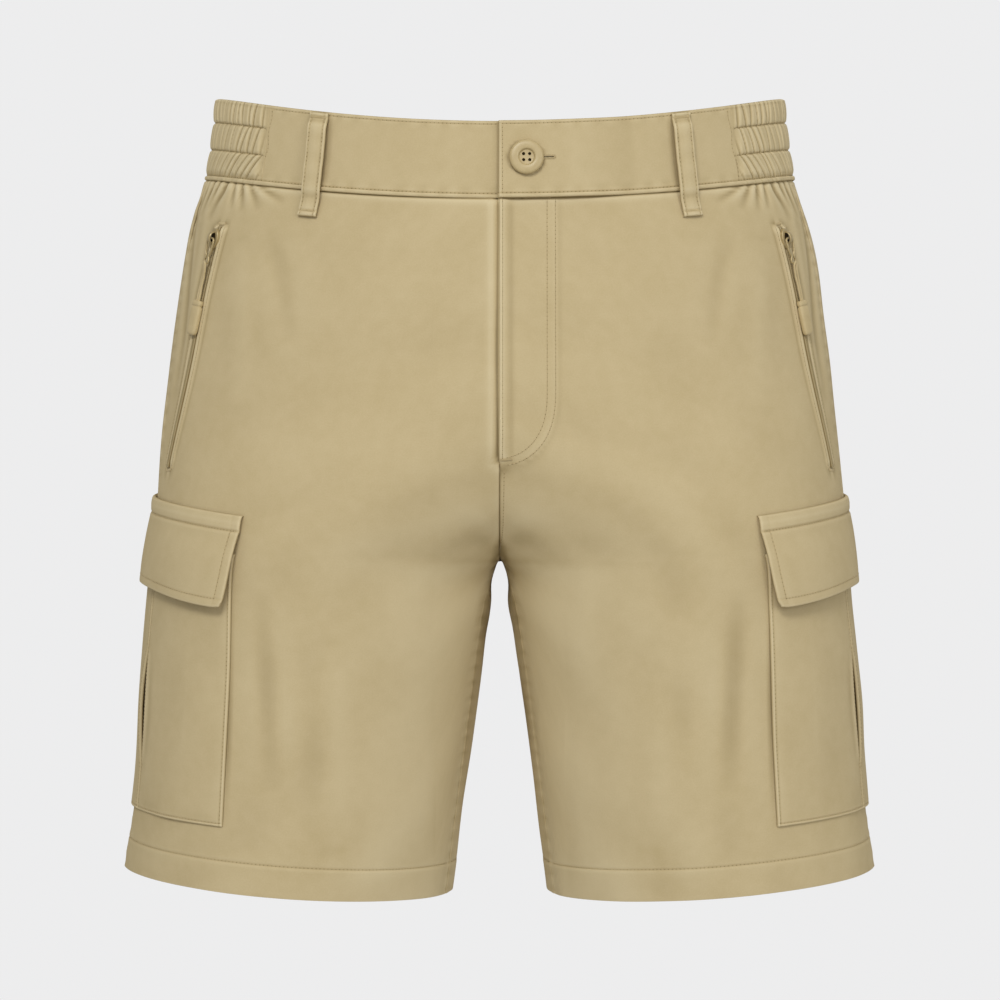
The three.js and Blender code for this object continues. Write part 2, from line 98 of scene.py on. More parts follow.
def along(table, column, value):
    """A smooth curve through one column of a table, by the table's first column."""
    keys = table[:, 0]
    values = table[:, column]
    last = len(keys) - 1
    value = np.asarray(value, float)
    low = np.clip(np.searchsorted(keys[1:last], value, side="left"), 0, last - 1)
    before = np.maximum(np.arange(last + 1) - 1, 0)
    after = np.minimum(np.arange(last + 1) + 1, last)
    slope = (values[after] - values[before]) / (keys[after] - keys[before])
    span = keys[low + 1] - keys[low]
    t = (value - keys[low]) / span
    level = values[low] + (values[low + 1] - values[low]) * t * t * (3 - 2 * t)
    bend = slope[low] * t * (1 - t) ** 2 - slope[low + 1] * t * t * (1 - t)
    return level + span * bend


# %% Points and normals of the form
def paired(angle, level):
    """Angles and levels as two arrays of numbers of one shape."""
    return np.broadcast_arrays(np.asarray(angle, float), np.asarray(level, float))


def fork(level):
    return share(level, 150, CROTCH) ** 2


def leg_gap(level):
    drop = np.maximum(level - CROTCH, 0)
    return 0.133 * drop + 2.6 * (1 - np.exp(-drop / 5))


# Fine tables of levels smooth the form where its section changes at the crotch's level, as cloth does.
FINE = np.arange(-12, 492, 0.5)
WINDOW = np.hanning(93) / np.hanning(93).sum()
NEAR_CROTCH = eased(FINE, 170, 230) * (1 - eased(FINE, 370, 430))


def softened(values):
    """A table over FINE without the kink at the crotch's level."""
    mean = np.convolve(np.pad(values, 46, mode="edge"), WINDOW, mode="valid")
    return values + (mean - values) * NEAR_CROTCH


WAIST_SHARE = softened(1 - share(FINE, 0, CROTCH))


def height_of(angle, level):
    sine = np.sin(np.radians(np.abs(angle)))
    front = -28.7 * (0.35 * sine + 0.65 * sine ** 2)
    waist = np.where(angle > 0, front, 2 * sine ** 2)
    tilt = 8 * np.cos(np.radians(angle)) * share(level, 150, HEM)
    return -level + waist * np.interp(level, FINE, WAIST_SHARE) + tilt


def half_width(level):
    """Half the width of one side's section: a quarter of the waist above, a whole leg below the crotch."""
    outside = along(FORM, SIDE, level)
    return np.where(level > CROTCH, (outside - leg_gap(level)) / 2, outside / (1 + fork(level)))


# The columns are looked up in the fine tables too, the half width with and without its kink.
FINE_SIDE = along(FORM, SIDE, FINE)
FINE_FRONT = along(FORM, FRONT, FINE)
FINE_BACK = along(FORM, BACK, FINE)
FINE_SOFT = softened(half_width(FINE))


def squareness(angle, level):
    """In front, beside the crotch, the cloth stays flatter before it turns in to the seam."""
    near = eased(level, 205, 262) * (1 - eased(level, 292, 390))
    round_front = np.where(angle < -180, angle + 360, angle)
    return 0.3 * near * eased(round_front, 92, 128)


def bare_point(angle, level):
    """The form's left side, in millimetres."""
    turn = np.radians(angle)
    outside = np.interp(level, FINE, FINE_SIDE)
    true_half = half_width(level)
    soft = 1 - eased(np.abs(angle), 148, 177)
    half = true_half + (np.interp(level, FINE, FINE_SOFT) - true_half) * soft
    depth = np.where(np.sin(turn) > 0, np.interp(level, FINE, FINE_FRONT), np.interp(level, FINE, FINE_BACK))
    x = outside - half + half * np.cos(turn)
    rounding = np.sign(np.sin(turn)) * np.abs(np.sin(turn)) ** (1 - squareness(angle, level))
    return np.stack([x, -depth * rounding, height_of(angle, level)], axis=-1)


def angle_at(x, level):
    """The angle in front at which the form lies that far from the middle."""
    half = half_width(level)
    return np.degrees(np.arccos(np.clip((x - np.interp(level, FINE, FINE_SIDE) + half) / half, -1, 1)))


def form_normal(angle, level):
    step = 0.2
    across = bare_point(angle + step, level) - bare_point(angle - step, level)
    down = bare_point(angle, level + step) - bare_point(angle, level - step)
    normal = np.cross(across, down)
    return normal / np.linalg.norm(normal, axis=-1, keepdims=True)


def form_point(side, angle, level, lift=0.0):
    """Points in metres; side is 1 on the wearer's left and -1 on the right, lift is out of the cloth."""
    angle, level, lift = np.broadcast_arrays(*[np.asarray(v, float) for v in (angle, level, lift)])
    point = bare_point(angle, level) + form_normal(angle, level) * lift[..., None]
    point[..., 0] *= side
    return point * MM


def outward(side, angle, level):
    """The cloth's outward directions on one side of the garment."""
    out = form_normal(angle, level)
    out[..., 0] *= side
    return out


def degrees_for(length, angle, level):
    """The degrees that take up a length in millimetres round the form."""
    step = bare_point(angle + 0.5, level) - bare_point(angle - 0.5, level)
    return length / np.linalg.norm(step, axis=-1)


def off_line(angle, line, level):
    """Millimetres round the form from a line's angle to an angle, positive towards the front."""
    return (angle - line) / degrees_for(1.0, line, level)


def beside(line, across, level):
    """The angle that lies some millimetres beside a line's angle, towards the front if above 0."""
    return line + across * degrees_for(1.0, line, level)


def middle_angle(level):
    return np.degrees(np.arccos(-fork(level)))


def inseam_angle(level):
    return 163 + 17 * np.exp(-(np.maximum(level, CROTCH) - CROTCH) / 12)


def front_end(level):
    return np.where(level > CROTCH, inseam_angle(level), middle_angle(level))


def back_end(level):
    return np.where(level > CROTCH, inseam_angle(level) - 360, -middle_angle(level))


probe = form_point(1, 0, np.array([0, HEM]))
print("half width at waist and hem, mm:", (probe[:, 0] / MM).round(1))

# %% [markdown]
# ## Camera, light and floor
# The photograph is a straight front view from about the middle of the garment's height, in very soft
# light: a big source in front and above, pale walls all round, and no shadow on the ground. A long lens
# keeps the legs from spreading. A plain floor glows in the background's own tone, so that no horizon shows,
# and the sky's light on the cloth is set apart from the tone that the camera sees.

# %% Camera at the photograph's angle
def placed(name, data):
    """A new object of the scene, at the origin, that shows this data."""
    made = bpy.data.objects.new(name, data)
    bpy.context.collection.objects.link(made)
    return made


PHOTO_SIDE = 1000
FOCAL_PIXELS = 2661
EYE = Vector((0, -1.65, -0.248))

lens = bpy.data.cameras.new("photo_camera")
lens.sensor_fit = "AUTO"
lens.sensor_width = 36
lens.lens = FOCAL_PIXELS * lens.sensor_width / PHOTO_SIDE
camera = placed("photo_camera", lens)
camera.location = EYE
camera.rotation_euler = (math.pi / 2, 0, 0)
bpy.context.scene.camera = camera
bpy.context.scene.view_settings.view_transform = "Standard"
print("lens, mm:", round(lens.lens, 1))

# %% Backdrop tone, floor and lights
BACKDROP = (0.846, 0.846, 0.85, 1)
AMBIENT = 0.47


def glow_and_light(tree, output_socket, kind):
    """Backdrop tone for the camera, a dimmer and even light for the cloth."""
    seen = tree.nodes.new(kind)
    seen.inputs["Color"].default_value = BACKDROP
    felt = tree.nodes.new(kind)
    felt.inputs["Color"].default_value = (1, 0.99, 0.965, 1)
    felt.inputs["Strength"].default_value = AMBIENT
    path = tree.nodes.new("ShaderNodeLightPath")
    choose = tree.nodes.new("ShaderNodeMixShader")
    tree.links.new(path.outputs["Is Camera Ray"], choose.inputs["Fac"])
    tree.links.new(felt.outputs[0], choose.inputs[1])
    tree.links.new(seen.outputs[0], choose.inputs[2])
    tree.links.new(choose.outputs[0], output_socket)


world = bpy.data.worlds.new("studio")
bpy.context.scene.world = world
world.use_nodes = True
world.node_tree.nodes.clear()
world_output = world.node_tree.nodes.new("ShaderNodeOutputWorld")
glow_and_light(world.node_tree, world_output.inputs["Surface"], "ShaderNodeBackground")

floor_finish = bpy.data.materials.new("studio_floor")
floor_finish.use_nodes = True
floor_finish.node_tree.nodes.clear()
floor_output = floor_finish.node_tree.nodes.new("ShaderNodeOutputMaterial")
glow_and_light(floor_finish.node_tree, floor_output.inputs["Surface"], "ShaderNodeEmission")

floor_shape = bmesh.new()
bmesh.ops.create_circle(floor_shape, cap_ends=True, segments=96, radius=12)
bmesh.ops.translate(floor_shape, verts=floor_shape.verts, vec=(0, 0, -0.62))
floor_mesh = bpy.data.meshes.new("floor")
floor_shape.to_mesh(floor_mesh)
floor_shape.free()
floor_mesh.materials.append(floor_finish)
placed("floor", floor_mesh)


def soft_light(name, place, target, size, power, tint):
    lamp = bpy.data.lights.new(name, "AREA")
    lamp.shape = "RECTANGLE"
    lamp.size = size[0]
    lamp.size_y = size[1]
    lamp.energy = power
    lamp.color = tint
    holder = placed(name, lamp)
    holder.location = place
    aim = Vector(target) - Vector(place)
    holder.rotation_euler = aim.to_track_quat("-Z", "Y").to_euler()


MIDDLE = (0, 0, -0.25)
soft_light("key_light", (-0.5, -2.8, 1.4), MIDDLE, (1.2, 0.8), 42, (1, 0.985, 0.96))
soft_light("fill_light", (1.6, -2.6, 0.2), MIDDLE, (1.0, 1.4), 15, (1, 0.99, 0.97))
soft_light("back_light", (0.4, 2.6, 1.4), MIDDLE, (1.8, 1.2), 26, (1, 0.99, 0.97))
print("backdrop tone", BACKDROP[:3], "ambient", AMBIENT)

# %% [markdown]
# ## Cloth, thread and trim finishes
# The real cloth is a fine, tight cotton twill: matt, with a soft bloom where it turns away, diagonal ribs
# half a millimetre apart, and a slight unevenness in its dye. We could use a photographed weave, but a
# procedural one has no seams and can be read at any distance. It is a node group, because cloth, tape and
# thread share it: colour, roughness and height come out of it, and each material's own shader takes them.
# The weave follows a UV map in metres, so it runs with the grain of each panel.

# %% Helper for node groups and materials
def feed(tree, value, socket):
    """Sets an input to a number or a colour, or links it to another socket."""
    if isinstance(value, (int, float, tuple)):
        socket.default_value = value
    else:
        tree.links.new(value, socket)


RESULTS = [("Color", "NodeSocketColor"), ("Roughness", "NodeSocketFloat"), ("Height", "NodeSocketFloat")]


def new_group(name, numbers):
    """An empty node group with named numbers, two colours and a place, and a finish's three results."""
    tree = bpy.data.node_groups.new(name, "ShaderNodeTree")
    for label, value in numbers:
        socket = tree.interface.new_socket(label, in_out="INPUT", socket_type="NodeSocketFloat")
        socket.default_value = value
    for label in ("Light", "Deep"):
        tree.interface.new_socket(label, in_out="INPUT", socket_type="NodeSocketColor")
    tree.interface.new_socket("Place", in_out="INPUT", socket_type="NodeSocketVector")
    for label, kind in RESULTS:
        tree.interface.new_socket(label, in_out="OUTPUT", socket_type=kind)
    return tree, tree.nodes.new("NodeGroupInput"), tree.nodes.new("NodeGroupOutput")


def noise(tree, place, scale, detail=2.0):
    """Noise at a place; the scale is a number or a socket."""
    node = tree.nodes.new("ShaderNodeTexNoise")
    node.inputs["Detail"].default_value = detail
    tree.links.new(place, node.inputs["Vector"])
    feed(tree, scale, node.inputs["Scale"])
    return node.outputs["Fac"]


def math_node(tree, operation, first, second=None):
    node = tree.nodes.new("ShaderNodeMath")
    node.operation = operation
    for socket, value in zip(node.inputs, (first, second)):
        if value is not None:
            feed(tree, value, socket)
    return node.outputs[0]


def mix_colours(tree, factor, first, second):
    node = tree.nodes.new("ShaderNodeMix")
    node.data_type = "RGBA"
    tree.links.new(factor, node.inputs["Factor"])
    feed(tree, first, node.inputs["A"])
    feed(tree, second, node.inputs["B"])
    return node.outputs["Result"]


def remap(tree, value, low, high, new_low, new_high):
    node = tree.nodes.new("ShaderNodeMapRange")
    node.inputs["From Min"].default_value = low
    node.inputs["From Max"].default_value = high
    node.inputs["To Min"].default_value = new_low
    node.inputs["To Max"].default_value = new_high
    tree.links.new(value, node.inputs["Value"])
    return node.outputs["Result"]


# %% The twill, as a node group
def make_twill():
    tree, start, end = new_group("twill", [("Ribs", 1900.0), ("Grain", 1100.0), ("Painted Light", 0.0)])
    place = start.outputs["Place"]
    axes = tree.nodes.new("ShaderNodeSeparateXYZ")
    tree.links.new(place, axes.inputs[0])
    slope = math_node(tree, "ADD", axes.outputs["X"], axes.outputs["Y"])
    turns = math_node(tree, "MULTIPLY", slope, start.outputs["Ribs"])
    cloud = noise(tree, place, 420.0, 1.0)
    turns = math_node(tree, "MULTIPLY", turns, 2 * math.pi)
    bent = math_node(tree, "ADD", turns, math_node(tree, "MULTIPLY", cloud, 5.0))
    rib = math_node(tree, "SINE", bent)
    grain = noise(tree, place, start.outputs["Grain"])
    broad = noise(tree, place, 22.0, 3.0)
    fine = noise(tree, place, 130.0, 3.0)
    mask = math_node(tree, "MULTIPLY", math_node(tree, "SUBTRACT", broad, 0.5), 1.1)
    patch = math_node(tree, "SUBTRACT", fine, 0.5)
    mask = math_node(tree, "ADD", mask, math_node(tree, "MULTIPLY", patch, 0.7))
    speck = math_node(tree, "SUBTRACT", grain, 0.5)
    mask = math_node(tree, "ADD", mask, math_node(tree, "MULTIPLY", speck, 0.9))
    mask = math_node(tree, "ADD", mask, math_node(tree, "MULTIPLY", rib, 0.08))
    mask = remap(tree, mask, -0.5, 0.5, 0.0, 1.0)
    colour = mix_colours(tree, mask, start.outputs["Light"], start.outputs["Deep"])
    # Painted light: above 0 the attribute mixes in a lighter painted highlight, below 0 a dark painted
    # shade.
    painted_highlight = remap(tree, start.outputs["Painted Light"], 0.0, 1.0, 0.0, 0.5)
    colour = mix_colours(tree, painted_highlight, colour, (0.80, 0.70, 0.47, 1))
    painted_shade = remap(tree, start.outputs["Painted Light"], 0.0, -1.0, 0.0, 0.6)
    colour = mix_colours(tree, painted_shade, colour, (0.24, 0.17, 0.07, 1))
    tree.links.new(colour, end.inputs["Color"])
    tree.links.new(remap(tree, grain, 0.3, 0.7, 0.82, 0.95), end.inputs["Roughness"])
    height = math_node(tree, "ADD", math_node(tree, "MULTIPLY", rib, 0.35), grain)
    tree.links.new(height, end.inputs["Height"])
    return tree


TWILL = make_twill()

# %% A material that takes colour, roughness and height from a group
def coloured(srgb):
    """Linear colour from 0 to 255 values as they look on screen."""
    parts = [v / 255 for v in srgb]
    return (*[v / 12.92 if v <= 0.04045 else ((v + 0.055) / 1.055) ** 2.4 for v in parts], 1)


def finish_from(group, name, light, deep, numbers, bump_mm, uv=None, **shader_values):
    material = bpy.data.materials.new(name)
    material.use_nodes = True
    tree = material.node_tree
    shader = tree.nodes["Principled BSDF"]
    for label, value in shader_values.items():
        shader.inputs[label.replace("_", " ")].default_value = value
    effect = tree.nodes.new("ShaderNodeGroup")
    effect.node_tree = group
    effect.inputs["Light"].default_value = coloured(light)
    effect.inputs["Deep"].default_value = coloured(deep)
    for label, value in numbers.items():
        effect.inputs[label].default_value = value
    if uv:
        place = tree.nodes.new("ShaderNodeUVMap")
        place.uv_map = uv
        tree.links.new(place.outputs["UV"], effect.inputs["Place"])
        # Each cloth's painted light attribute: painted highlight above 0, painted shade below 0.
        painted_light = tree.nodes.new("ShaderNodeAttribute")
        painted_light.attribute_name = "painted_light"
        tree.links.new(painted_light.outputs["Fac"], effect.inputs["Painted Light"])
    else:
        place = tree.nodes.new("ShaderNodeTexCoord")
        tree.links.new(place.outputs["Object"], effect.inputs["Place"])
    relief = tree.nodes.new("ShaderNodeBump")
    relief.inputs["Distance"].default_value = bump_mm * MM
    relief.inputs["Strength"].default_value = 0.5
    tree.links.new(effect.outputs["Height"], relief.inputs["Height"])
    tree.links.new(relief.outputs["Normal"], shader.inputs["Normal"])
    tree.links.new(effect.outputs["Color"], shader.inputs["Base Color"])
    tree.links.new(effect.outputs["Roughness"], shader.inputs["Roughness"])
    return material


SHEEN = {
    "Sheen_Weight": 0.05, "Sheen_Roughness": 0.45, "Sheen_Tint": (0.85, 0.70, 0.42, 1),
    "Specular_IOR_Level": 0.1,
}
KHAKI_LIGHT = (206, 189, 150)
KHAKI_DEEP = (194, 176, 135)
CLOTH = finish_from(
    TWILL, "khaki_twill", KHAKI_LIGHT, KHAKI_DEEP, {"Ribs": 1900, "Grain": 1100}, 0.12, "grain", **SHEEN
)
# The tape's colour is deepened below the cloth's as painted shade in the sunk zip.
TAPE = finish_from(
    TWILL, "zip_tape_weave", (152, 132, 90), (126, 107, 68), {"Ribs": 900, "Grain": 1600}, 0.2, "grain",
    **SHEEN,
)

# %% Thread, metal and moulded finishes
def make_plain():
    """Soft clouds and specks for thread, lacquered metal and plastic, by the place on the object."""
    numbers = [("Speck Size", 900.0), ("Rough", 0.5), ("Rough Spread", 0.1)]
    tree, start, end = new_group("clouds_and_specks", numbers)
    place = start.outputs["Place"]
    broad = noise(tree, place, 120.0, 2.0)
    speck = noise(tree, place, start.outputs["Speck Size"])
    dots = math_node(tree, "MULTIPLY", speck, 0.4)
    mask = math_node(tree, "ADD", math_node(tree, "MULTIPLY", broad, 0.6), dots)
    mask = remap(tree, mask, 0.3, 0.7, 0.0, 1.0)
    colour = mix_colours(tree, mask, start.outputs["Light"], start.outputs["Deep"])
    tree.links.new(colour, end.inputs["Color"])
    cloud = math_node(tree, "SUBTRACT", broad, 0.5)
    spread = math_node(tree, "MULTIPLY", start.outputs["Rough Spread"], cloud)
    tree.links.new(math_node(tree, "ADD", start.outputs["Rough"], spread), end.inputs["Roughness"])
    tree.links.new(speck, end.inputs["Height"])
    return tree


PLAIN = make_plain()
THREAD = finish_from(
    PLAIN, "khaki_thread", (204, 186, 144), (182, 163, 120), {"Speck Size": 2500, "Rough": 0.7}, 0.1,
    Sheen_Weight=0.2, Specular_IOR_Level=0.3,
)
PLASTIC = finish_from(
    PLAIN, "button_plastic", (196, 177, 132), (184, 164, 118), {"Speck Size": 700, "Rough": 0.42}, 0.03,
    Specular_IOR_Level=0.5, Coat_Weight=0.25, Coat_Roughness=0.3,
)
METAL = finish_from(
    PLAIN, "lacquered_metal", (190, 171, 126), (166, 147, 103), {"Speck Size": 500, "Rough": 0.38}, 0.03,
    Metallic=0.35, Specular_IOR_Level=0.6, Coat_Weight=0.4, Coat_Roughness=0.25,
)
GRIP = finish_from(
    PLAIN, "moulded_grip", (202, 184, 142), (190, 171, 128), {"Speck Size": 1400, "Rough": 0.55}, 0.05,
    Specular_IOR_Level=0.4,
)
# A dark finish for pieces that are painted shade: deep holes, the slider's throat and the buttonhole's slit.
DARK = finish_from(
    PLAIN, "painted_shade_dark", (58, 46, 26), (38, 30, 16), {"Speck Size": 900, "Rough": 0.9}, 0.02,
    Specular_IOR_Level=0.1,
)
print("materials:", [m.name for m in bpy.data.materials])

# %% [markdown]
# ## From a grid to a piece of cloth
# Each piece of cloth starts as Blender's own flat grid. Its columns and rows are then laid on the form, at
# angles and levels that crowd together wherever there is a seam, a line of stitching or a fold to show. The
# Solidify modifier gives the sheet its real thickness, inwards. Modelling the wall by hand would give the
# same form with twice the work, and cloth simulation can't place a topstitched seam.

# %% Lines of a grid that crowd at seams
CLOSE = np.array([0.25, 0.6, 1.1, 1.8, 3.0])
EDGE_COLUMNS = np.concatenate([[0.0], CLOSE])


def crowded(start, end, pitch, edges=(True, True), marks=()):
    """Positions from start to end in millimetres, about one pitch apart, closer at the edges and marks."""
    lines = [start, end]
    anchors = list(marks)
    if edges[0]:
        anchors.append(start)
    if edges[1]:
        anchors.append(end)
    for anchor in anchors:
        lines += [anchor, *(anchor - CLOSE), *(anchor + CLOSE)]
    lines = [v for v in lines if start <= v <= end]
    regular = np.linspace(start, end, max(int(round((end - start) / pitch)), 1) + 1)
    nearest = [min(abs(v - line) for line in lines) for v in regular]
    lines += [v for v, gap in zip(regular, nearest) if gap > 0.6 * pitch]
    ordered = np.unique(np.round(lines, 3))
    return ordered[np.insert(np.diff(ordered) > 0.12, 0, True)]


def edge_roll(distance, radius=1.0, drop=0.8):
    """How far a folded edge drops, by the distance from it."""
    return -drop * (1 - share(distance, 0, radius)) ** 2


def mesh_of_grid(name, columns, rows):
    """Blender's grid as a mesh, with the column and row of each vertex."""
    shape = bmesh.new()
    shape.loops.layers.uv.new("grain")
    bmesh.ops.create_grid(shape, x_segments=columns - 1, y_segments=rows - 1, size=1)
    mesh = bpy.data.meshes.new(name)
    shape.to_mesh(mesh)
    shape.free()
    flat = np.empty(len(mesh.vertices) * 3, np.float32)
    mesh.vertices.foreach_get("co", flat)
    flat = flat.reshape(-1, 3)
    column = np.rint((flat[:, 0] + 1) / 2 * (columns - 1)).astype(int)
    row = np.rint((1 - flat[:, 1]) / 2 * (rows - 1)).astype(int)
    return mesh, column, row


def blurred(values, reach):
    """A running mean over neighbouring rows and columns."""
    window = np.hanning(2 * reach + 3)[1:-1]
    window /= window.sum()
    for axis in (0, 1):
        width = [(reach, reach) if k == axis else (0, 0) for k in (0, 1)]
        padded = np.pad(values, width, mode="edge")
        values = np.apply_along_axis(np.convolve, axis, padded, window, mode="valid")
    return values


def painted_light_of(lift):
    """Painted highlight above 0 on sharp ridges and folded edges, painted shade below 0 in narrow valleys,
    by the lift round each point.
    """
    return np.clip((lift - blurred(lift, 3)) / 0.36, -1, 1)


def lay_grid(name, points, out, thickness, finish, painted_light, thicker=None):
    """A cloth object from a grid of points in metres and of outward directions."""
    rows, columns = points.shape[:2]
    mesh, column, row = mesh_of_grid(name, columns, rows)
    mesh.vertices.foreach_set("co", points[row, column].astype(np.float32).ravel())
    mesh.update()
    middle = mesh.polygons[len(mesh.polygons) // 2]
    corner = middle.vertices[0]
    if middle.normal.dot(Vector(out[row[corner], column[corner]])) < 0:
        mesh.flip_normals()
    half = columns // 2
    across = np.cumsum(np.insert(np.linalg.norm(np.diff(points, axis=1), axis=-1), 0, 0, axis=1), axis=1)
    across -= across[:, half:half + 1]
    down = np.cumsum(np.insert(np.linalg.norm(np.diff(points, axis=0), axis=-1), 0, 0, axis=0), axis=0)
    corners = np.empty(len(mesh.loops), int)
    mesh.loops.foreach_get("vertex_index", corners)
    grain = np.stack([across[row, column], -down[row, column]], axis=-1)
    mesh.uv_layers["grain"].data.foreach_set("uv", grain[corners].astype(np.float32).ravel())
    # The painted light of each point: painted highlight on ridges, painted shade in valleys and beside
    # seams.
    marks = mesh.attributes.new("painted_light", "FLOAT", "POINT")
    marks.data.foreach_set("value", painted_light[row, column].astype(np.float32))
    mesh.polygons.foreach_set("use_smooth", np.ones(len(mesh.polygons), bool))
    mesh.materials.append(finish)
    piece = placed(name, mesh)
    wall = piece.modifiers.new("cloth_thickness", "SOLIDIFY")
    wall.thickness = thickness * MM
    wall.offset = -1
    wall.use_even_offset = False
    if thicker is not None:
        weights = piece.vertex_groups.new(name="layers")
        for value in np.unique(thicker):
            chosen = np.nonzero(thicker[row] == value)[0].tolist()
            weights.add(chosen, float(value), "REPLACE")
        wall.vertex_group = "layers"
        wall.thickness_vertex_group = 0.0
    return piece


def cloth_on_form(
    name, side, angle, level, lift, thickness, finish=None, thicker=None, sewn=None, shade=0.0
):
    """Cloth at angles and levels. Between the two levels of sewn, its last column meets the other half.

    Where shade is below 0, the cloth is painted darker, as painted shade beside a seam or an overlap; above
    0 it is painted lighter, as painted light.
    """
    angle, level, lift = np.broadcast_arrays(angle, level, lift)
    points = form_point(side, angle, level, lift)
    if sewn:
        rows = (level[:, -1] > sewn[0]) & (level[:, -1] < sewn[1] + 4)
        points[..., 0] = np.where(rows[:, None], side * np.maximum(side * points[..., 0], 0), points[..., 0])
        points[rows & (level[:, -1] < sewn[1] + 0.5), -1, 0] = 0
    # Painted highlight on ridges and painted shade in valleys, with the given shade added on top.
    painted_light = np.clip(painted_light_of(lift) + shade, -1, 1)
    return lay_grid(name, points, outward(side, angle, level), thickness, finish or CLOTH, painted_light, thicker)


def dress(piece, node):
    """The piece rides on the garment, and stands for its CAD node."""
    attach(piece, "garment")
    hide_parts(node)


# %% [markdown]
# ## Folds, gathers and unevenness
# Cloth is never flat: the elastic throws short gathers into the panels, long soft folds run from the waist
# down the sides, creases meet at the crotch, and the whole surface waves a little. Each fold is a short path
# of places on the form with a width and a height. Sculpting would do it too, but a table of paths keeps each
# fold where the photograph shows it, and gives the unseen back folds of the same kind.

# %% Distance to a path on the form
def path_distance(angle, level, path):
    """Millimetres to a path of (angle, level) places, and the share of the path at the nearest point."""
    table = np.array([(i, *place) for i, place in enumerate(path)], float)
    steps = np.linspace(0, len(path) - 1, 5 * (len(path) - 1) + 1)
    corners = bare_point(along(table, 1, steps), along(table, 2, steps))
    at = bare_point(angle, level)
    nearest = np.full(at.shape[:-1], 1e6)
    travelled = np.zeros(at.shape[:-1])
    for i, (a, b) in enumerate(zip(corners, corners[1:])):
        leg = b - a
        part = np.clip((at - a) @ leg / (leg @ leg), 0, 1)
        gap = np.linalg.norm(at - a - part[..., None] * leg, axis=-1)
        closer = gap < nearest
        nearest = np.where(closer, gap, nearest)
        travelled = np.where(closer, (i + part) / (len(corners) - 1), travelled)
    return nearest, travelled


def folds(angle, level, table):
    """Troughs and ridges along paths. One that starts at a seam is deepest there and fades."""
    lift = np.zeros(np.shape(angle))
    for height, width, from_seam, path in table:
        gap, travelled = path_distance(angle, level, path)
        fade = (1 - travelled) ** 0.9 if from_seam else np.sin(np.pi * np.clip(travelled, 0, 1)) ** 0.8
        spread = width * (1 + 1.3 * travelled) if from_seam else width
        lift += height * fade * (bump(gap, spread) - 0.3 * bump(gap, 2.2 * spread))
    return lift


def waves(angle, level, seed, count=14):
    """A few slow waves in every direction, in millimetres, the same for the same seed."""
    random = np.random.default_rng(seed)
    across = np.asarray(angle, float) * 2.0
    lift = 0
    for _ in range(count):
        length = random.uniform(38, 130)
        turn = random.uniform(0, math.pi)
        phase = random.uniform(0, 2 * math.pi)
        swing = 2 * math.pi * (across * math.cos(turn) + level * math.sin(turn)) / length
        lift = lift + 0.0022 * length * np.sin(swing + phase)
    return lift


# %% Tables of folds: height mm, width mm, starts at a seam, path of (angle, level)
def from_middle(x, level):
    """A place in front, or behind for a negative x, by its distance from the middle."""
    return (math.copysign(1, x) * float(angle_at(abs(x), level)), level)


FRONT_FOLDS = [
    (-3.2, 2.0, True, [(25.4, 50), (24.6, 56), (23.0, 64), (21.5, 76)]),
    (-2.0, 1.5, True, [(29.0, 50), (29.6, 58), (30.6, 67)]),
    (-2.2, 1.6, True, [(32.0, 50), (33.2, 58), (34.8, 68)]),
    (-1.7, 1.9, True, [(34.9, 50), (37.4, 57), (40.2, 66)]),
    (-1.7, 1.5, True, [(37.6, 50), (42.0, 54), (47.0, 59)]),
    (-1.8, 1.5, True, [(21.8, 50), (20.6, 58), (19.4, 68)]),
    (-2.4, 1.8, True, [(18.2, 50), (16.9, 60), (15.8, 74)]),
    (-2.0, 1.6, True, [(14.2, 50), (13.4, 60), (13.0, 72)]),
    (-1.7, 5.0, False, [(10.5, 52), (12.0, 80), (15.5, 112), (17.5, 150), (17.0, 190)]),
    (1.1, 5.5, False, [(19.5, 66), (21.8, 96), (22.0, 140), (20.0, 180)]),
    (-0.8, 9.0, False, [(44.0, 74), (49.0, 104), (53.0, 150)]),
    (0.9, 11.0, False, [(36.0, 84), (40.0, 130), (43.0, 190)]),
    (-0.45, 6.0, True, [from_middle(1, 277), from_middle(22, 262), from_middle(46, 248)]),
    (0.4, 6.0, True, [from_middle(2, 268), from_middle(20, 250), from_middle(40, 232)]),
    (-0.6, 7.0, True, [(164.0, 287), (146.0, 294), (126.0, 308), (108.0, 334)]),
    (0.5, 8.0, True, [(163.0, 300), (142.0, 322), (124.0, 352)]),
    (-0.8, 9.0, False, [(74.0, 300), (79.0, 360), (84.0, 420)]),
    (0.7, 12.0, False, [(100.0, 330), (104.0, 390), (108.0, 450)]),
]
BACK_FOLDS = [
    (-1.6, 6.5, False, [(4.0, 52), (0.0, 92), (-3.0, 150), (-2.0, 210)]),
    (1.2, 8.0, False, [(-12.0, 70), (-17.0, 130), (-20.0, 200)]),
    (-1.5, 9.0, False, [(-34.0, 66), (-40.0, 120), (-46.0, 190), (-48.0, 250)]),
    (-0.9, 8.0, True, [from_middle(-1, 277), from_middle(-25, 266), from_middle(-55, 260)]),
    (0.8, 8.0, True, [from_middle(-2, 268), from_middle(-24, 250), from_middle(-50, 240)]),
    (-1.5, 8.0, True, [(-186.0, 292), (-160.0, 300), (-136.0, 304), (-112.0, 300)]),
    (1.2, 9.0, True, [(-192.0, 302), (-166.0, 322), (-142.0, 334), (-118.0, 338)]),
    (-0.6, 15.0, False, [(-80.0, 300), (-84.0, 370), (-88.0, 440)]),
    (0.5, 16.0, False, [(-124.0, 340), (-122.0, 400), (-120.0, 450)]),
    (-0.6, 13.0, False, [(-44.0, 280), (-48.0, 350), (-50.0, 420)]),
]


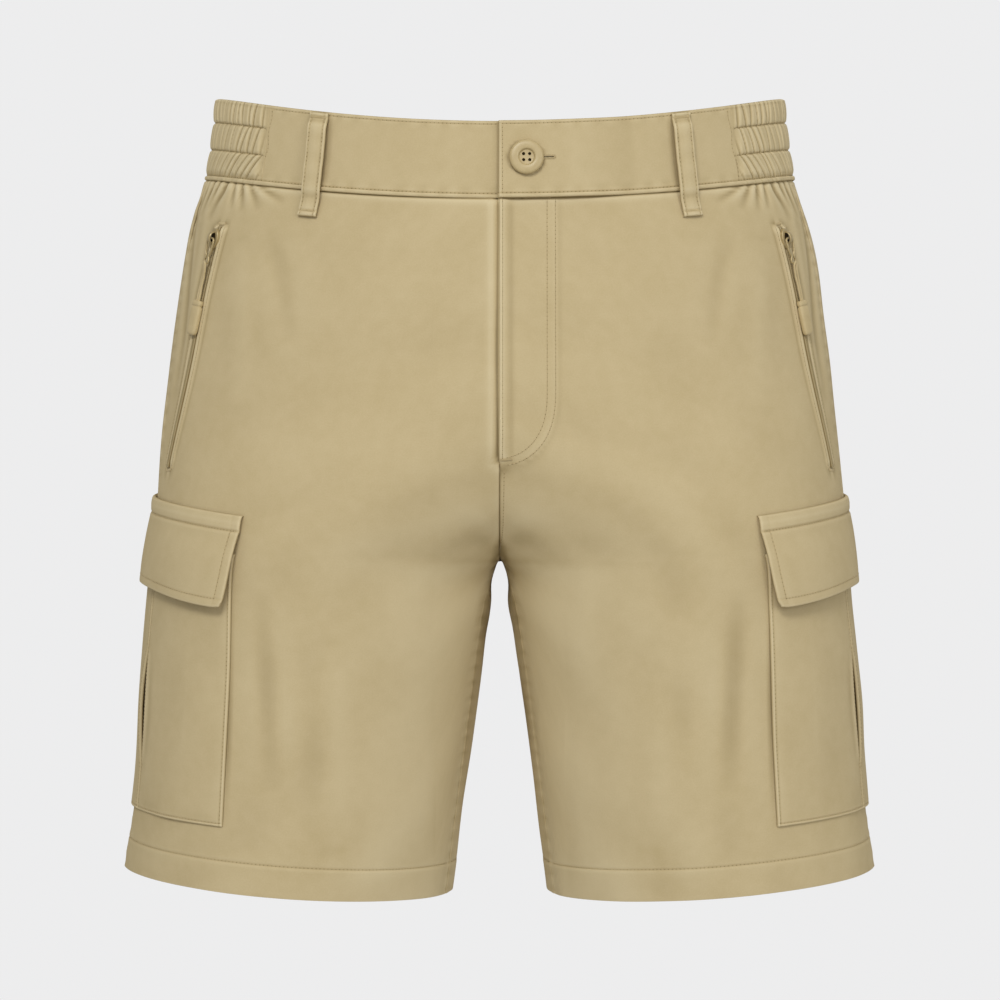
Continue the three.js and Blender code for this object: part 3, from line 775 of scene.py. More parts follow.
def elastic_gathers(first, last, count, seed):
    """Short gathers under the elastic, uneven in place, length, width and depth."""
    random = np.random.default_rng(seed)
    table = []
    for i in range(count):
        start = first + (last - first) * (i + 0.5 + random.uniform(-0.28, 0.28)) / count
        length = random.uniform(9, 27)
        drift = random.uniform(-2.4, 2.4)
        path = [(start, 50), (start + 0.4 * drift, 50 + 0.5 * length), (start + drift, 50 + length)]
        table.append((-random.uniform(1.4, 3.0), random.uniform(1.3, 2.2), True, path))
    return table


def front_folds(side, angle, level):
    return folds(angle, level, FRONT_FOLDS) + 0.55 * waves(angle, level, 11 + side)


def back_folds(side, angle, level, gathers=()):
    return folds(angle, level, BACK_FOLDS + list(gathers)) + 0.8 * waves(angle, level, 31 + side)


print("folds in front and behind:", len(FRONT_FOLDS), len(BACK_FOLDS))

# %% [markdown]
# ## Leg panels
# Four panels make the legs: a front and a back one on each side, meeting at the side seam, the inseam, the
# fly and the seat seam. Their edges roll under at the seams, the hem is folded up and stitched, and the
# front panels rise into two lips beside the zip. The fly's left panel lies over the right one.

# %% The zip's line and the fly
ZIP_TOP = 78
ZIP_LOW = 229
FLY_WIDTH = 33
FLY_END = 223
FLY_TUCK = 2.5  # degrees that the right panel reaches under the left one
HEM_STITCH = 461.5
FAR = 60  # millimetres, beyond the reach of any seam


def zip_angle(level):
    return 28.6 - 0.0465 * (level - ZIP_TOP)


def guide_angle(level):
    """The line that the front panel's closest columns follow: the zip, then straight down."""
    low = ZIP_LOW + 20
    return np.where(level < low, zip_angle(level), zip_angle(low))


def zip_across(angle, level):
    """Millimetres from the zip's line."""
    return off_line(angle, zip_angle(level), level)


def zip_lips(angle, level):
    gap = np.abs(zip_across(angle, level))
    open_part = eased(level, ZIP_TOP - 3, ZIP_TOP + 2) * (1 - eased(level, ZIP_LOW - 4, ZIP_LOW + 3))
    height = 2.0 - 0.9 * share(level, ZIP_TOP, ZIP_LOW)
    lip = height * eased(gap, 1.9, 2.8) * (1 - eased(gap, 3.2, 8.5))
    return open_part * (lip - 0.4 * (1 - eased(gap, 1.9, 2.6)))


def fly_curve(level, width):
    """How far from the middle the fly's stitching runs: straight down, then round to the middle."""
    turn = share(level, 172, FLY_END - (FLY_WIDTH - width))
    return width * np.sqrt(np.maximum(1 - turn ** 2.6, 0))


def hem_lift(level):
    step = eased(level, HEM_STITCH - 0.3, HEM_STITCH + 1.7)
    return 0.25 * step - 0.25 * bump(level - HEM_STITCH, 0.8)


def tucked_under_band(level):
    return -1.7 * (1 - eased(level, WAIST_SEAM + 0.2, WAIST_SEAM + 1.9))


def seam_puckers(distance, level, seed):
    wander = 0.9 * np.sin(level / 23.0 + seed)
    return 0.16 * bump(distance, 5.0) * np.sin(level / 1.5 + 2.2 * wander + seed)


def inseam_distance(angle, level):
    """Millimetres from the inseam; above the crotch, too far to matter."""
    gap = np.abs(angle - inseam_angle(level)) / degrees_for(1.0, 160, level)
    return np.where(level > CROTCH, gap, FAR)


def calmed(lift, inner, level):
    """Folds die out at the inseam and under the band."""
    lift = lift * (0.1 + 0.9 * eased(inner, 0, 16)) + tucked_under_band(level)
    return lift * (eased(level, WAIST_SEAM - 2, WAIST_SEAM + 4) * 0.6 + 0.4)


def seamed(lift, angle, level, inner):
    """The cloth rolls under and puckers at the side seam and the inseam."""
    side_gap = np.abs(off_line(angle, SIDE_SEAM, level))
    lift = lift + edge_roll(side_gap, 1.3, 0.75) + seam_puckers(side_gap, level, 1.0)
    return lift + edge_roll(inner, 1.3, 0.5) + seam_puckers(inner, level, 2.6)


def front_lift(side, angle, level):
    """How far the front panel's outer face stands off the form, in millimetres."""
    angle, level = paired(angle, level)
    x = bare_point(angle, level)[..., 0] + (0.6 if side > 0 else 0)
    inner = inseam_distance(angle, level)
    lift = calmed(front_folds(side, angle, level), inner, level)
    calm = 1 - bump(zip_across(angle, level), 10) * eased(level, 70, 84) * (1 - eased(level, 225, 250))
    lift = lift * (0.35 + 0.65 * calm) + zip_lips(angle, level) + hem_lift(level)
    above = 1 - eased(level, FLY_END - 9, FLY_END + 3)
    middle = np.where(level < CROTCH, x, FAR)
    if side > 0:
        placket = 1 - eased(middle, fly_curve(level, FLY_WIDTH) - 1, fly_curve(level, FLY_WIDTH) + 2.5)
        lift = lift + above * (1.7 * (1 - eased(middle, 0.5, 8)) + 0.35 * placket)
        lift = lift + edge_roll(middle, 1.1, 1.6) * above + edge_roll(middle, 1.2, 0.7) * (1 - above)
    else:
        lift = lift - above * 1.8 * (1 - eased(middle, -1.0, 6))
        lift = lift + edge_roll(middle, 1.2, 0.7) * (1 - above)
    return seamed(lift, angle, level, inner)


def back_lift(side, angle, level):
    """How far the back panel's outer face stands off the form, in millimetres."""
    angle, level = paired(angle, level)
    x = bare_point(angle, level)[..., 0]
    inner = inseam_distance(angle + 360, level)
    gathers = elastic_gathers(9, ELASTIC_BACK, 15, 40 + side)
    lift = calmed(back_folds(side, angle, level, gathers), inner, level)
    middle = np.where(level < CROTCH, x, FAR)
    lift = lift + edge_roll(middle, 1.3, 0.8) + seam_puckers(middle, level, 4.0) + hem_lift(level)
    return seamed(lift, angle, level, inner)


POCKET_SEAM = 22
POCKET_TOP = 270
POCKET_LOW = 442
SLIT_TOP = 342
SLIT_LOW = 413


def pocket_front_edge(level):
    return 63.2 + 0.031 * (level - POCKET_TOP)


def front_shade(side, angle, level):
    """Painted shade under the band's edge, beside and under the pocket, in its slit, beside the fly and deep
    in the crotch; painted light on the inner legs.
    """
    angle, level = paired(angle, level)
    x = bare_point(angle, level)[..., 0]
    # Painted shade: a dark line under the band's lower edge.
    shade = -0.9 * (1 - eased(level, WAIST_SEAM + 0.5, WAIST_SEAM + 1.9))
    beyond = (angle - pocket_front_edge(level)) / degrees_for(1.0, 65, level)
    pocket = eased(level, POCKET_TOP + 12, POCKET_TOP + 20)
    pocket = pocket * (1 - eased(level, POCKET_LOW, POCKET_LOW + 1.5))
    shade = shade - 0.8 * pocket * eased(beyond, -1.0, 0.2) * (1 - eased(beyond, 0.3, 2.2))
    under = (level > POCKET_LOW - 1) & (beyond < 0)
    shade = shade - 0.7 * under * (1 - eased(level, POCKET_LOW + 0.3, POCKET_LOW + 2.0))
    slit = eased(level, SLIT_TOP - 12, SLIT_TOP) * (1 - eased(level, SLIT_LOW, SLIT_LOW + 12))
    shade = shade - (1 - eased(np.abs(off_line(angle, POCKET_SEAM, level)), 4, 7)) * slit
    fly = 1 - eased(level, FLY_END - 4, FLY_END + 1)
    if side < 0:
        shade = shade - 0.85 * fly * (1 - eased(x, 0.0, 3.6))
    # Painted shade deep in the crotch, and painted light on the inner legs, which lie in shade.
    wedge = 0.6 + 4.6 * share(level, CROTCH - 19, CROTCH)
    deep = eased(level, CROTCH - 24, CROTCH - 10) * (1 - eased(level, CROTCH, CROTCH + 7))
    shade = shade - 0.95 * deep * (1 - eased(x, 0.4 * wedge, 1.4 * wedge))
    shade = shade + 0.55 * eased(angle, 96, 140) * eased(level, CROTCH - 62, CROTCH - 12) * (1 - deep)
    return shade - 0.5 * (1 - eased(x, 0.3, 1.4)) * (1 - fly) * (level < CROTCH)


# %% Build the four panels
PANEL_LEVELS = np.unique(np.concatenate([
    crowded(WAIST_SEAM - 0.9, 84, 1.7, (True, False)),
    crowded(84, HEM, 3.0, (False, True), (CROTCH, HEM_STITCH)),
]))
ZIP_COLUMNS = np.array([0, 0.8, 1.5, 1.9, 2.2, 2.5, 2.8, 3.2, 3.8, 4.7, 5.9, 7.4])
ZIP_COLUMNS = np.concatenate([-ZIP_COLUMNS[:0:-1], ZIP_COLUMNS])


def between(first, last, count, crowding=1.0):
    """Columns of angles strictly between two columns; above 1, crowding draws them to the first."""
    t = (np.arange(1, count) / count) ** crowding
    return first + (last - first) * t


def inner_columns(level, start, end, count):
    """Columns from a distance from the middle to an end. They stay even where the legs part."""
    t = np.arange(count) / count
    near = angle_at(start, level)
    last = bare_point(end, np.minimum(level, CROTCH))[..., 0]
    above = angle_at(start + (last - start) * t, level)
    parting = angle_at(start * (1 - t), CROTCH)
    below = near + (end - near) * (parting - parting[0]) / (180 - parting[0])
    return np.where(level > CROTCH, below, above)


def front_columns(side):
    level = PANEL_LEVELS[:, None]
    seam = beside(SIDE_SEAM, EDGE_COLUMNS, level)
    zips = beside(guide_angle(level), ZIP_COLUMNS, level)
    above = 1 - eased(level, FLY_END - 6, FLY_END)
    reach = front_end(level) + above * (0.35 if side > 0 else FLY_TUCK / 2) + 0.3 * (level > CROTCH + 2)
    end = reach - EDGE_COLUMNS[::-1] * degrees_for(1.0, front_end(level) - 2, level)
    inner = inner_columns(level, 39.0, end[:, :1], 30 if side > 0 else 22)
    parts = [seam, between(seam[:, -1:], zips[:, :1], 20), zips]
    parts += [between(zips[:, -1:], inner[:, :1], 72, 1.35), inner, end]
    return np.concatenate(parts, axis=1), level


def back_columns():
    level = PANEL_LEVELS[:, None]
    seam = beside(SIDE_SEAM, -EDGE_COLUMNS, level)
    reach = back_end(level) - 0.3 * (level > CROTCH + 2)
    end = reach + EDGE_COLUMNS[::-1] * degrees_for(1.0, back_end(level) + 2, level)
    elastic = np.full_like(seam[:, :1], ELASTIC_BACK)
    inner = -inner_columns(level, 45.0, -end[:, :1], 26)
    parts = [seam, between(seam[:, -1:], elastic, 62), elastic, between(elastic, inner[:, :1], 26)]
    return np.concatenate(parts + [inner, end], axis=1), level


HEM_LAYERS = 0.62 + 0.38 * eased(PANEL_LEVELS, HEM_STITCH - 1, HEM_STITCH + 1).round(1)
PANEL_CLOTH = 2.6
for name, side in SIDES:
    angle, level = front_columns(side)
    place = (side, angle, level, front_lift(side, angle, level), PANEL_CLOTH)
    shade = front_shade(side, angle, level)
    sewn = (FLY_END, CROTCH)
    front = cloth_on_form(f"front_panel_{name}", *place, thicker=HEM_LAYERS, sewn=sewn, shade=shade)
    dress(front, f"front_{name}")
    angle, level = back_columns()
    place = (side, angle, level, back_lift(side, angle, level), PANEL_CLOTH)
    back = cloth_on_form(f"back_panel_{name}", *place, thicker=HEM_LAYERS, sewn=(0, CROTCH))
    dress(back, f"back_{name}")
    print(name, "panel vertices:", len(front.data.vertices), len(back.data.vertices))

# %% [markdown]
# ## Waistband
# The band is folded double, stitched along its top and along the seam below, where its edge stands proud as
# a thin lip. Its left front end lies over the right one for the button. At the sides a wide elastic gathers
# it into ridges in three channels, which two lines of stitching pinch. The ridges are waves of uneven width,
# with a round crest and a narrow valley, that flatten where the stitching holds them.

# %% Band profile and its plain pieces
BAND = 2.4
BAND_END = WAIST_SEAM + 0.7
TOP_STITCH = 2.2
LOW_STITCH = 47.0
OVERLAP_LIFT = 2.7


def band_profile(level):
    crown = 0.35 * np.sin(np.pi * share(level, 3, 46))
    grooves = -0.22 * bump(level - TOP_STITCH, 0.6) - 0.35 * bump(level - LOW_STITCH, 0.6)
    lip = 0.8 * eased(level, LOW_STITCH + 0.2, LOW_STITCH + 1.1)
    return crown + grooves + lip + edge_roll(level, 1.1, 1.0) + edge_roll(BAND_END - level, 1.0, 1.0)


def overlap_lift(angle):
    return OVERLAP_LIFT * eased(angle, 64, 77)


def band_lift(side, angle, level):
    lift = band_profile(level) + 0.3 * waves(angle, level, 5 + side)
    if side > 0:
        lift = lift + np.where(angle > 0, overlap_lift(angle), 0)
    else:
        lift = lift - 0.5 * eased(angle, 80, 89)
    puckers = 0.1 * np.sin(np.asarray(angle, float) * 1.4 + 0.8 * np.sin(np.asarray(angle) / 3.1))
    return lift + puckers * (bump(level - LOW_STITCH, 4) + bump(level - TOP_STITCH, 3))


CENTRE_BACK = -90
LOOP_WIDTH = 12.5
LOOPS = [
    ("front_left", 1, 53), ("front_right", -1, 53), ("back_left", 1, -57), ("back_right", -1, -57),
    ("back_centre", 1, CENTRE_BACK),
]
BUTTON_ANGLE = 85.1
BUTTON_LEVEL = 24.3
BAND_LEVELS = crowded(0, BAND_END, 2.2, marks=(TOP_STITCH, LOW_STITCH))


def plain_band(name, side, start, end, count, rolled):
    """A band piece between two angles. If rolled, its far end is folded and not sewn on."""
    level = BAND_LEVELS[:, None]
    inner = degrees_for(1.0, end if rolled else start, 20)
    close = EDGE_COLUMNS * inner * np.sign(end - start)
    near = start + close
    away = (end - close)[::-1]
    angle = np.concatenate([near, between(near[-1], away[0], count), away])[None, :]
    lift = band_lift(side, angle, level)
    if rolled:
        lift = lift + edge_roll(np.abs(end - angle) / inner, 1.2, 1.3)
    # Painted shade beside the loops and under the overlap at the right band's end, and a painted shadow
    # round the button on the left band.
    shade = np.zeros_like(lift)
    for _, loop_side, middle in LOOPS:
        if loop_side == side or middle == CENTRE_BACK:
            gap = np.abs(off_line(angle, middle, 25))
            shade = shade - 0.75 * (1 - eased(gap, LOOP_WIDTH / 2 - 0.5, LOOP_WIDTH / 2 + 2.0))
    if side < 0:
        shade = shade - 0.85 * (1 - eased((90 - angle) / inner, 0.0, 3.4))
    elif rolled:
        from_button = np.hypot((angle - BUTTON_ANGLE) / inner, level - BUTTON_LEVEL)
        shade = shade - 1 + eased(from_button, 9.8, 11.6)
    return cloth_on_form(name, side, angle, level, lift, BAND, shade=shade)


END_TUCK = 0.3  # degrees past the middle
BAND_PIECES = [
    # name, side, first angle, last angle, columns, cut length, panels below
    ("front_left", 1, ELASTIC_FRONT, 90 + END_TUCK, 62, 0.125, ["front_panel_left"]),
    ("front_right", -1, ELASTIC_FRONT, 99.5, 70, 0.155, ["front_panel_right"]),
    ("back", 1, ELASTIC_BACK, -180 - ELASTIC_BACK, 90, 0.24, ["back_panel_left", "back_panel_right"]),
]
for name, side, start, end, count, length, panels in BAND_PIECES:
    band = plain_band(f"waistband_{name}_cloth", side, start, end, count, rolled=name != "back")
    dress(band, f"waistband_{name}")
    print(band.name, "vertices:", len(band.data.vertices))

# %% The gathered elastic
UPPER_ROW = 14.8
LOWER_ROW = 31.6
CHANNELS = [
    # start level, end level, lean in degrees a millimetre, swell in mm, angles of the valleys in the photo
    (0.0, UPPER_ROW, 0.05, 0.5, [36.9, 33.8, 32.0, 29.0, 27.2, 24.8, 22.7, 19.6, 17.0, 13.6, 10.4]),
    (UPPER_ROW, LOWER_ROW, 0.12, 0.7, [37.4, 35.0, 32.6, 30.4, 28.2, 25.2, 22.0, 19.4, 15.8, 12.4, 9.0]),
    (LOWER_ROW, LOW_STITCH, 0.25, 0.5, [38.2, 35.2, 33.0, 30.6, 27.6, 25.4, 22.2, 18.6, 15.4, 12.0, 8.4]),
]


def valleys(side, channel):
    """Angle, depth, width and extra lean of each valley. The ones that the photo doesn't show are drawn."""
    random = np.random.default_rng(40 + 7 * channel + side)
    seen = list(CHANNELS[channel][4])
    at = seen[-1]
    while at > ELASTIC_BACK + 3:
        at -= random.uniform(1.9, 3.7)
        seen.append(at)
    table = []
    for angle in seen:
        shift = random.uniform(-0.5, 0.5) if side > 0 else 0.0
        depth = random.uniform(1.3, 2.6)
        table.append((angle + shift, depth, random.uniform(0.6, 1.05), random.uniform(-0.05, 0.05)))
    return table


def elastic_lift(side, angle, level):
    """The gathered band: ridges between the valleys of three channels, pinched by the lines of stitching."""
    angle, level = paired(angle, level)
    lift = np.zeros(angle.shape)
    free = eased(ELASTIC_FRONT - angle, 0.3, 2.5) * eased(angle - ELASTIC_BACK, 0.3, 2.5)
    scale = 1 / degrees_for(1.0, angle, level)
    for channel, (start, end, lean, swell, _) in enumerate(CHANNELS):
        inside = (level >= start) & (level < end) if end < LOW_STITCH else level >= start
        part = share(level, start, end)
        pinch = np.sin(np.pi * part) ** 0.35
        across = angle + lean * (level - (start + end) / 2)
        wave = np.full(angle.shape, 0.9)
        for place, depth, width, turn in valleys(side, channel):
            gap = (across - place + turn * (level - (start + end) / 2)) * scale
            wave = wave - depth * (np.exp(-np.abs(gap / width) ** 1.5) - 0.25 * bump(gap, 2.6 * width))
        shape = pinch * (swell + wave) + (1 - pinch) * 0.35 * (wave - 0.6)
        lift = np.where(inside, free * shape, lift)
    rows = sum(bump(level - line, 0.8) for line in (UPPER_ROW, LOWER_ROW))
    lift = (lift - 0.6 * rows * free) * (1 - 0.45 * eased(level, LOW_STITCH - 3, LOW_STITCH))
    wander = 0.35 * np.sin(angle * 0.9 + side) * eased(level, 44, 49) * free
    return lift + band_profile(level) + wander


ELASTIC_LEVELS = crowded(0, BAND_END, 1.15, marks=(UPPER_ROW, LOWER_ROW, LOW_STITCH))
for name, side in SIDES:
    angle = np.linspace(ELASTIC_FRONT, ELASTIC_BACK, 340)[None, :]
    level = ELASTIC_LEVELS[:, None]
    lift = elastic_lift(side, angle, level)
    elastic = cloth_on_form(f"waistband_elastic_{name}_cloth", side, angle, level, lift, BAND)
    dress(elastic, f"waistband_elastic_{name}")
print("elastic vertices:", len(elastic.data.vertices))

# %% [markdown]
# ## Belt loops
# A loop is a folded strip with a line of stitching near each edge, its ends turned under and held by bar
# tacks. Between the tacks it stands off the band so that a belt fits through. The strip follows the band's
# form at a changing gap, which a short table gives.

# %% Five loops
LOOP_CLOTH = 2.0
LOOP_TOP = 1.2
LOOP_END = 67
LOOP_TACKS = (4.2, 63.5)
LOOP_PATH = np.array([
    # level, gap behind the strip
    (LOOP_TOP, 0.35), (6, 0.6), (9.5, 2.0), (15, 2.9), (28, 3.2), (41, 3.0), (50, 2.2), (55, 0.7),
    (LOOP_END, 0.35),
])


def loop_lift(across, level):
    gap = along(LOOP_PATH, 1, level)
    edge = LOOP_WIDTH / 2 - np.abs(across)
    seam = 0.35 * bump(edge - 1.9, 0.5)
    ends = edge_roll(level - LOOP_TOP, 0.9, 1.2) + edge_roll(LOOP_END - level, 0.9, 1.4)
    tacks = -0.5 * sum(bump(level - tack, 1.0) for tack in LOOP_TACKS)
    crown = 0.25 * bump(across, 2.2)
    return gap + LOOP_CLOTH + 0.35 + edge_roll(edge, 1.0, 1.1) - seam + ends + tacks + crown


for name, side, middle in LOOPS:
    across = crowded(-LOOP_WIDTH / 2, LOOP_WIDTH / 2, 1.1)[None, :]
    level = crowded(LOOP_TOP, LOOP_END, 1.2, marks=LOOP_TACKS)[:, None]
    angle = beside(middle, across, level)
    lift = loop_lift(across, level) + 0.1 * np.sin(level / 2.1 + middle)
    loop = cloth_on_form(f"belt_loop_{name}_cloth", side, angle, level, lift, LOOP_CLOTH)
    dress(loop, f"belt_loop_{name}")
print("loop vertices:", len(loop.data.vertices))

# %% [markdown]
# ## Cargo pockets and flaps
# Each pocket is two flat pieces sewn on the leg, with a side entry left open in the seam between them and a
# line of stitching inside each edge. The flap is two layers with a folded edge and slightly eased lower
# corners. It is sewn down near its top and stands away from the leg lower down, most at the front.

# %% What the pocket lies on
POCKET_CLOTH = 1.5
POCKET_REAR = -34
FLAP_TOP = 246.4
FLAP_LOW = 301.3
POCKET_HEM = POCKET_LOW - 2.2


def leg_lift(side, angle, level):
    """The leg's own folds and waves under a pocket, without its seams."""
    back = back_folds(side, angle, level)
    part = eased(angle, SIDE_SEAM - 6, SIDE_SEAM + 6)
    return back + (front_folds(side, angle, level) - back) * part


def slit_open(level):
    return np.sin(np.pi * share(level, SLIT_TOP, SLIT_LOW))


def slit_half(level):
    return 3.7 * slit_open(level) ** 0.7


def flap_top(angle):
    turn = np.radians(angle)
    return FLAP_TOP + 8.6 * (1 - np.cos(turn)) + 7 * np.sin(turn)


def flap_low(angle):
    turn = np.radians(angle)
    return FLAP_LOW + 3 * (1 - np.cos(turn)) + 5.5 * np.sin(turn) + 4.8 * eased(angle, 18, 62)


def pocket_lift(side, angle, level, edge, low, seam):
    """Outer face of a pocket piece, by the distances from its far edge, its lower edge and its seam."""
    base = leg_lift(side, angle, level) + 0.6 + POCKET_CLOTH
    full = 0.9 * np.sin(np.pi * share(level, 300, 440)) * share(edge, 2, 30)
    soft = 0.5 * waves(angle, level, 71 + side) + full
    rolls = edge_roll(edge, 1.1, 1.6) + edge_roll(low, 1.1, 1.6)
    grooves = -0.3 * (bump(edge - 1.9, 0.6) + bump(low - 2.2, 0.6))
    lips = edge_roll(seam, 1.3, 0.9) + slit_open(level) ** 0.6 * 0.9 * bump(seam - 2.2, 3.2)
    return base + soft + rolls + grooves + lips


def pocket_rear_edge(level):
    return POCKET_REAR + 0 * level


def sunk_under_flap(angle, level):
    """How much lower a pocket's place is than its level says, because its top follows the flap's."""
    return (flap_top(angle) - FLAP_TOP) * (1 - share(level, POCKET_TOP, SLIT_TOP))


def pocket_piece(side, name, toward, far_edge, count):
    level = crowded(POCKET_TOP, POCKET_LOW, 2.6, (False, True), (POCKET_HEM,))[:, None]
    unit = degrees_for(1.0, POCKET_SEAM, level)
    start = beside(POCKET_SEAM, toward * (0.15 + slit_half(level)), level)
    far = far_edge(level)
    near = start + toward * EDGE_COLUMNS * unit
    away = beside(far, -toward * EDGE_COLUMNS[::-1], level)
    angle = np.concatenate([near, between(near[:, -1:], away[:, :1], count), away], axis=1)
    edge = -toward * off_line(angle, far, level)
    seam = toward * (angle - start) / unit
    sunk = level + sunk_under_flap(angle, level)
    lift = pocket_lift(side, angle, sunk, edge, POCKET_LOW - level, seam)
    return cloth_on_form(name, side, angle, sunk, lift, POCKET_CLOTH)


POCKET_PIECES = [
    # which piece, its direction from the seam, its far edge, columns, cut width, panels below
    ("front", 1, pocket_front_edge, 34, 0.092, ("front",)),
    ("rear", -1, pocket_rear_edge, 42, 0.118, ("front", "back")),
]
for name, side in SIDES:
    for part, toward, far_edge, count, width, panels in POCKET_PIECES:
        pocket = pocket_piece(side, f"cargo_pocket_{part}_{name}_cloth", toward, far_edge, count)
        dress(pocket, f"cargo_pocket_{part}_{name}")
        print(pocket.name, "vertices:", len(pocket.data.vertices))

# %% Flaps
FLAP_CLOTH = 2.2
FLAP_WIDE = 178.0
FLAP_TALL = 55.0
FLAP_INSET = 5.5  # from the edge to the line of stitching
FLAP_FOLD = 10.0  # from the top edge to the line that holds the flap down
FLAP_LIFTS = np.array([(0, 2.7), (0.16, 3.2), (0.45, 5.2), (0.75, 6.6), (1, 6.9)])


def flap_place(across, down):
    """Angle and level on a flap: across from 0 at its front edge to 1, down from its top to 1."""
    front = 59.5 + 4 * down + 2.6 * np.sin(np.pi * down)
    rear = -29 - 3 * down
    corner = 1.2 * np.maximum(down - 0.93, 0) / 0.07
    front = front - corner * bump(across, 0.035) * 0.55
    rear = rear + corner * bump(1 - across, 0.035) * 0.55
    angle = front + (rear - front) * across
    raise_low = 0.7 * (bump(across, 0.02) + bump(1 - across, 0.02)) * down ** 12
    level = flap_top(angle) + (flap_low(angle) - flap_top(angle)) * down
    return angle, level - raise_low


def flap_lift(side, across, down):
    angle, level = flap_place(across, down)
    flare = 1 + 0.55 * down * eased(angle, 0, 63.5)
    lift = along(FLAP_LIFTS, 1, down) * flare + 0.7 * leg_lift(side, angle, level)
    edges = (across * FLAP_WIDE, (1 - across) * FLAP_WIDE, (1 - down) * FLAP_TALL)
    top = down * FLAP_TALL
    rolls = sum(edge_roll(gap, 0.9, 1.1) for gap in edges) + edge_roll(top, 1.5, 1.6)
    grooves = -0.14 * sum(bump(gap - FLAP_INSET, 0.7) for gap in edges)
    grooves = grooves - 0.8 * bump(top - FLAP_FOLD, 0.9)
    rim = 0.1 * sum(bump(gap - 2.6, 1.8) for gap in edges)
    sewn = 0.5 * bump(top - 4.5, 3.0)
    return lift + rolls + grooves + rim + sewn + 0.35 * waves(angle, level, 91 + side)


for name, side in SIDES:
    marks = (FLAP_INSET, FLAP_WIDE - FLAP_INSET)
    across = crowded(0, FLAP_WIDE, 2.4, marks=marks)[None, :] / FLAP_WIDE
    marks = (FLAP_FOLD, FLAP_TALL - FLAP_INSET)
    down = crowded(0, FLAP_TALL, 1.6, marks=marks)[:, None] / FLAP_TALL
    angle, level = flap_place(across, down)
    lift = flap_lift(side, across, down)
    flap = cloth_on_form(f"cargo_flap_{name}_cloth", side, angle, level, lift, FLAP_CLOTH)
    dress(flap, f"cargo_flap_{name}")
print("flap vertices:", len(flap.data.vertices))

# %% [markdown]
# ## Stitching
# The seams that show on the real shorts are topstitched with thread of the cloth's own colour. One stitch is
# a tiny rounded capsule, made once with an operator. Copies of it are laid along each line at the thread's
# real pitch, on the cloth's outer face, and joined in one mesh for each part of the garment. Many separate
# objects would make a heavy scene, and painted stitches would catch no light.

# %% One stitch and its copies
STITCH_LENGTH = 1.6
STITCH_PITCH = 2.35
THREAD_RADIUS = 0.26


def small_capsule(length, width, height, turns=6, rings=4):
    """A capsule along X, in millimetres, as arrays of corners and triangles."""
    shape = bmesh.new()
    bmesh.ops.create_uvsphere(shape, u_segments=turns, v_segments=rings, radius=0.5)
    bmesh.ops.rotate(shape, verts=shape.verts, cent=(0, 0, 0), matrix=Matrix.Rotation(math.pi / 2, 3, "Y"))
    bmesh.ops.scale(shape, verts=shape.verts, vec=(length, width, height))
    bmesh.ops.triangulate(shape, faces=shape.faces)
    shape.verts.ensure_lookup_table()
    corners = np.array([v.co for v in shape.verts])
    faces = np.array([[v.index for v in f.verts] for f in shape.faces])
    shape.free()
    return corners, faces


def with_hole(template, away, size):
    """A stitch and, away from its middle, the small dip that the needle leaves, dark as painted shade."""
    corners, faces = template
    dip_corners, dip_faces = small_capsule(size, size, 0.45 * size, 5, 3)
    dip_corners = dip_corners + np.array([away, 0, -0.04])
    parts = [0] * len(faces) + [1] * len(dip_faces)
    both = np.concatenate([corners, dip_corners])
    return both, np.concatenate([faces, dip_faces + len(corners)]), np.array(parts)


def copies(name, template, places, finish):
    """One mesh of a small shape at many places; a place is its middle and its three directions."""
    corners, faces = template[:2]
    middles = np.concatenate([p[0] for p in places])
    turns = np.concatenate([p[1] for p in places])
    moved = middles[:, None, :] + np.einsum("nij,vj->nvi", turns, corners * MM)
    offset = np.arange(len(middles))[:, None, None] * len(corners)
    mesh = bpy.data.meshes.new(name)
    mesh.from_pydata(moved.reshape(-1, 3).tolist(), [], (faces[None] + offset).reshape(-1, 3).tolist())
    mesh.polygons.foreach_set("use_smooth", np.ones(len(mesh.polygons), bool))
    mesh.materials.append(finish)
    if len(template) > 2:
        mesh.materials.append(NEEDLE_SHADE)
        mesh.polygons.foreach_set("material_index", np.tile(template[2], len(middles)))
    piece = placed(name, mesh)
    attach(piece, "garment")
    return piece


def on_cloth(side, angle, level, lift_of, extra=0.1):
    """Points on the cloth's outer face and its outward directions."""
    angle, level = paired(angle, level)
    points = form_point(side, angle, level, lift_of(angle, level) + extra)
    return points, outward(side, angle, level)


def spaced(points, out, pitch):
    """Middles, and directions along, across and out, at an even pitch down a line."""
    legs = np.linalg.norm(np.diff(points, axis=0), axis=-1) / MM
    travelled = np.insert(np.cumsum(legs), 0, 0)
    count = max(int(travelled[-1] / pitch), 1)
    at = (np.arange(count) + 0.5) * travelled[-1] / count

    def pick(values, shift=0.0):
        return np.stack([np.interp(at + shift, travelled, values[:, k]) for k in range(3)], axis=-1)

    along_line = pick(points, 0.3) - pick(points, -0.3)
    along_line /= np.linalg.norm(along_line, axis=-1, keepdims=True)
    up = pick(out)
    up -= along_line * np.sum(up * along_line, axis=-1, keepdims=True)
    up /= np.linalg.norm(up, axis=-1, keepdims=True)
    across = np.cross(up, along_line)
    return pick(points), np.stack([along_line, across, up], axis=-1)


def stitched(side, angle, level, lift_of, pitch=STITCH_PITCH, extra=0.1):
    return spaced(*on_cloth(side, angle, level, lift_of, extra), pitch)


def on_side(lift_of, side):
    """A lift on one side as a function of angle and level alone."""
    return lambda angle, level: lift_of(side, angle, level)


def crosswise(row):
    """The same places with each copy turned across the line."""
    middles, turns = row
    return middles, np.stack([turns[..., 1], -turns[..., 0], turns[..., 2]], axis=-1)


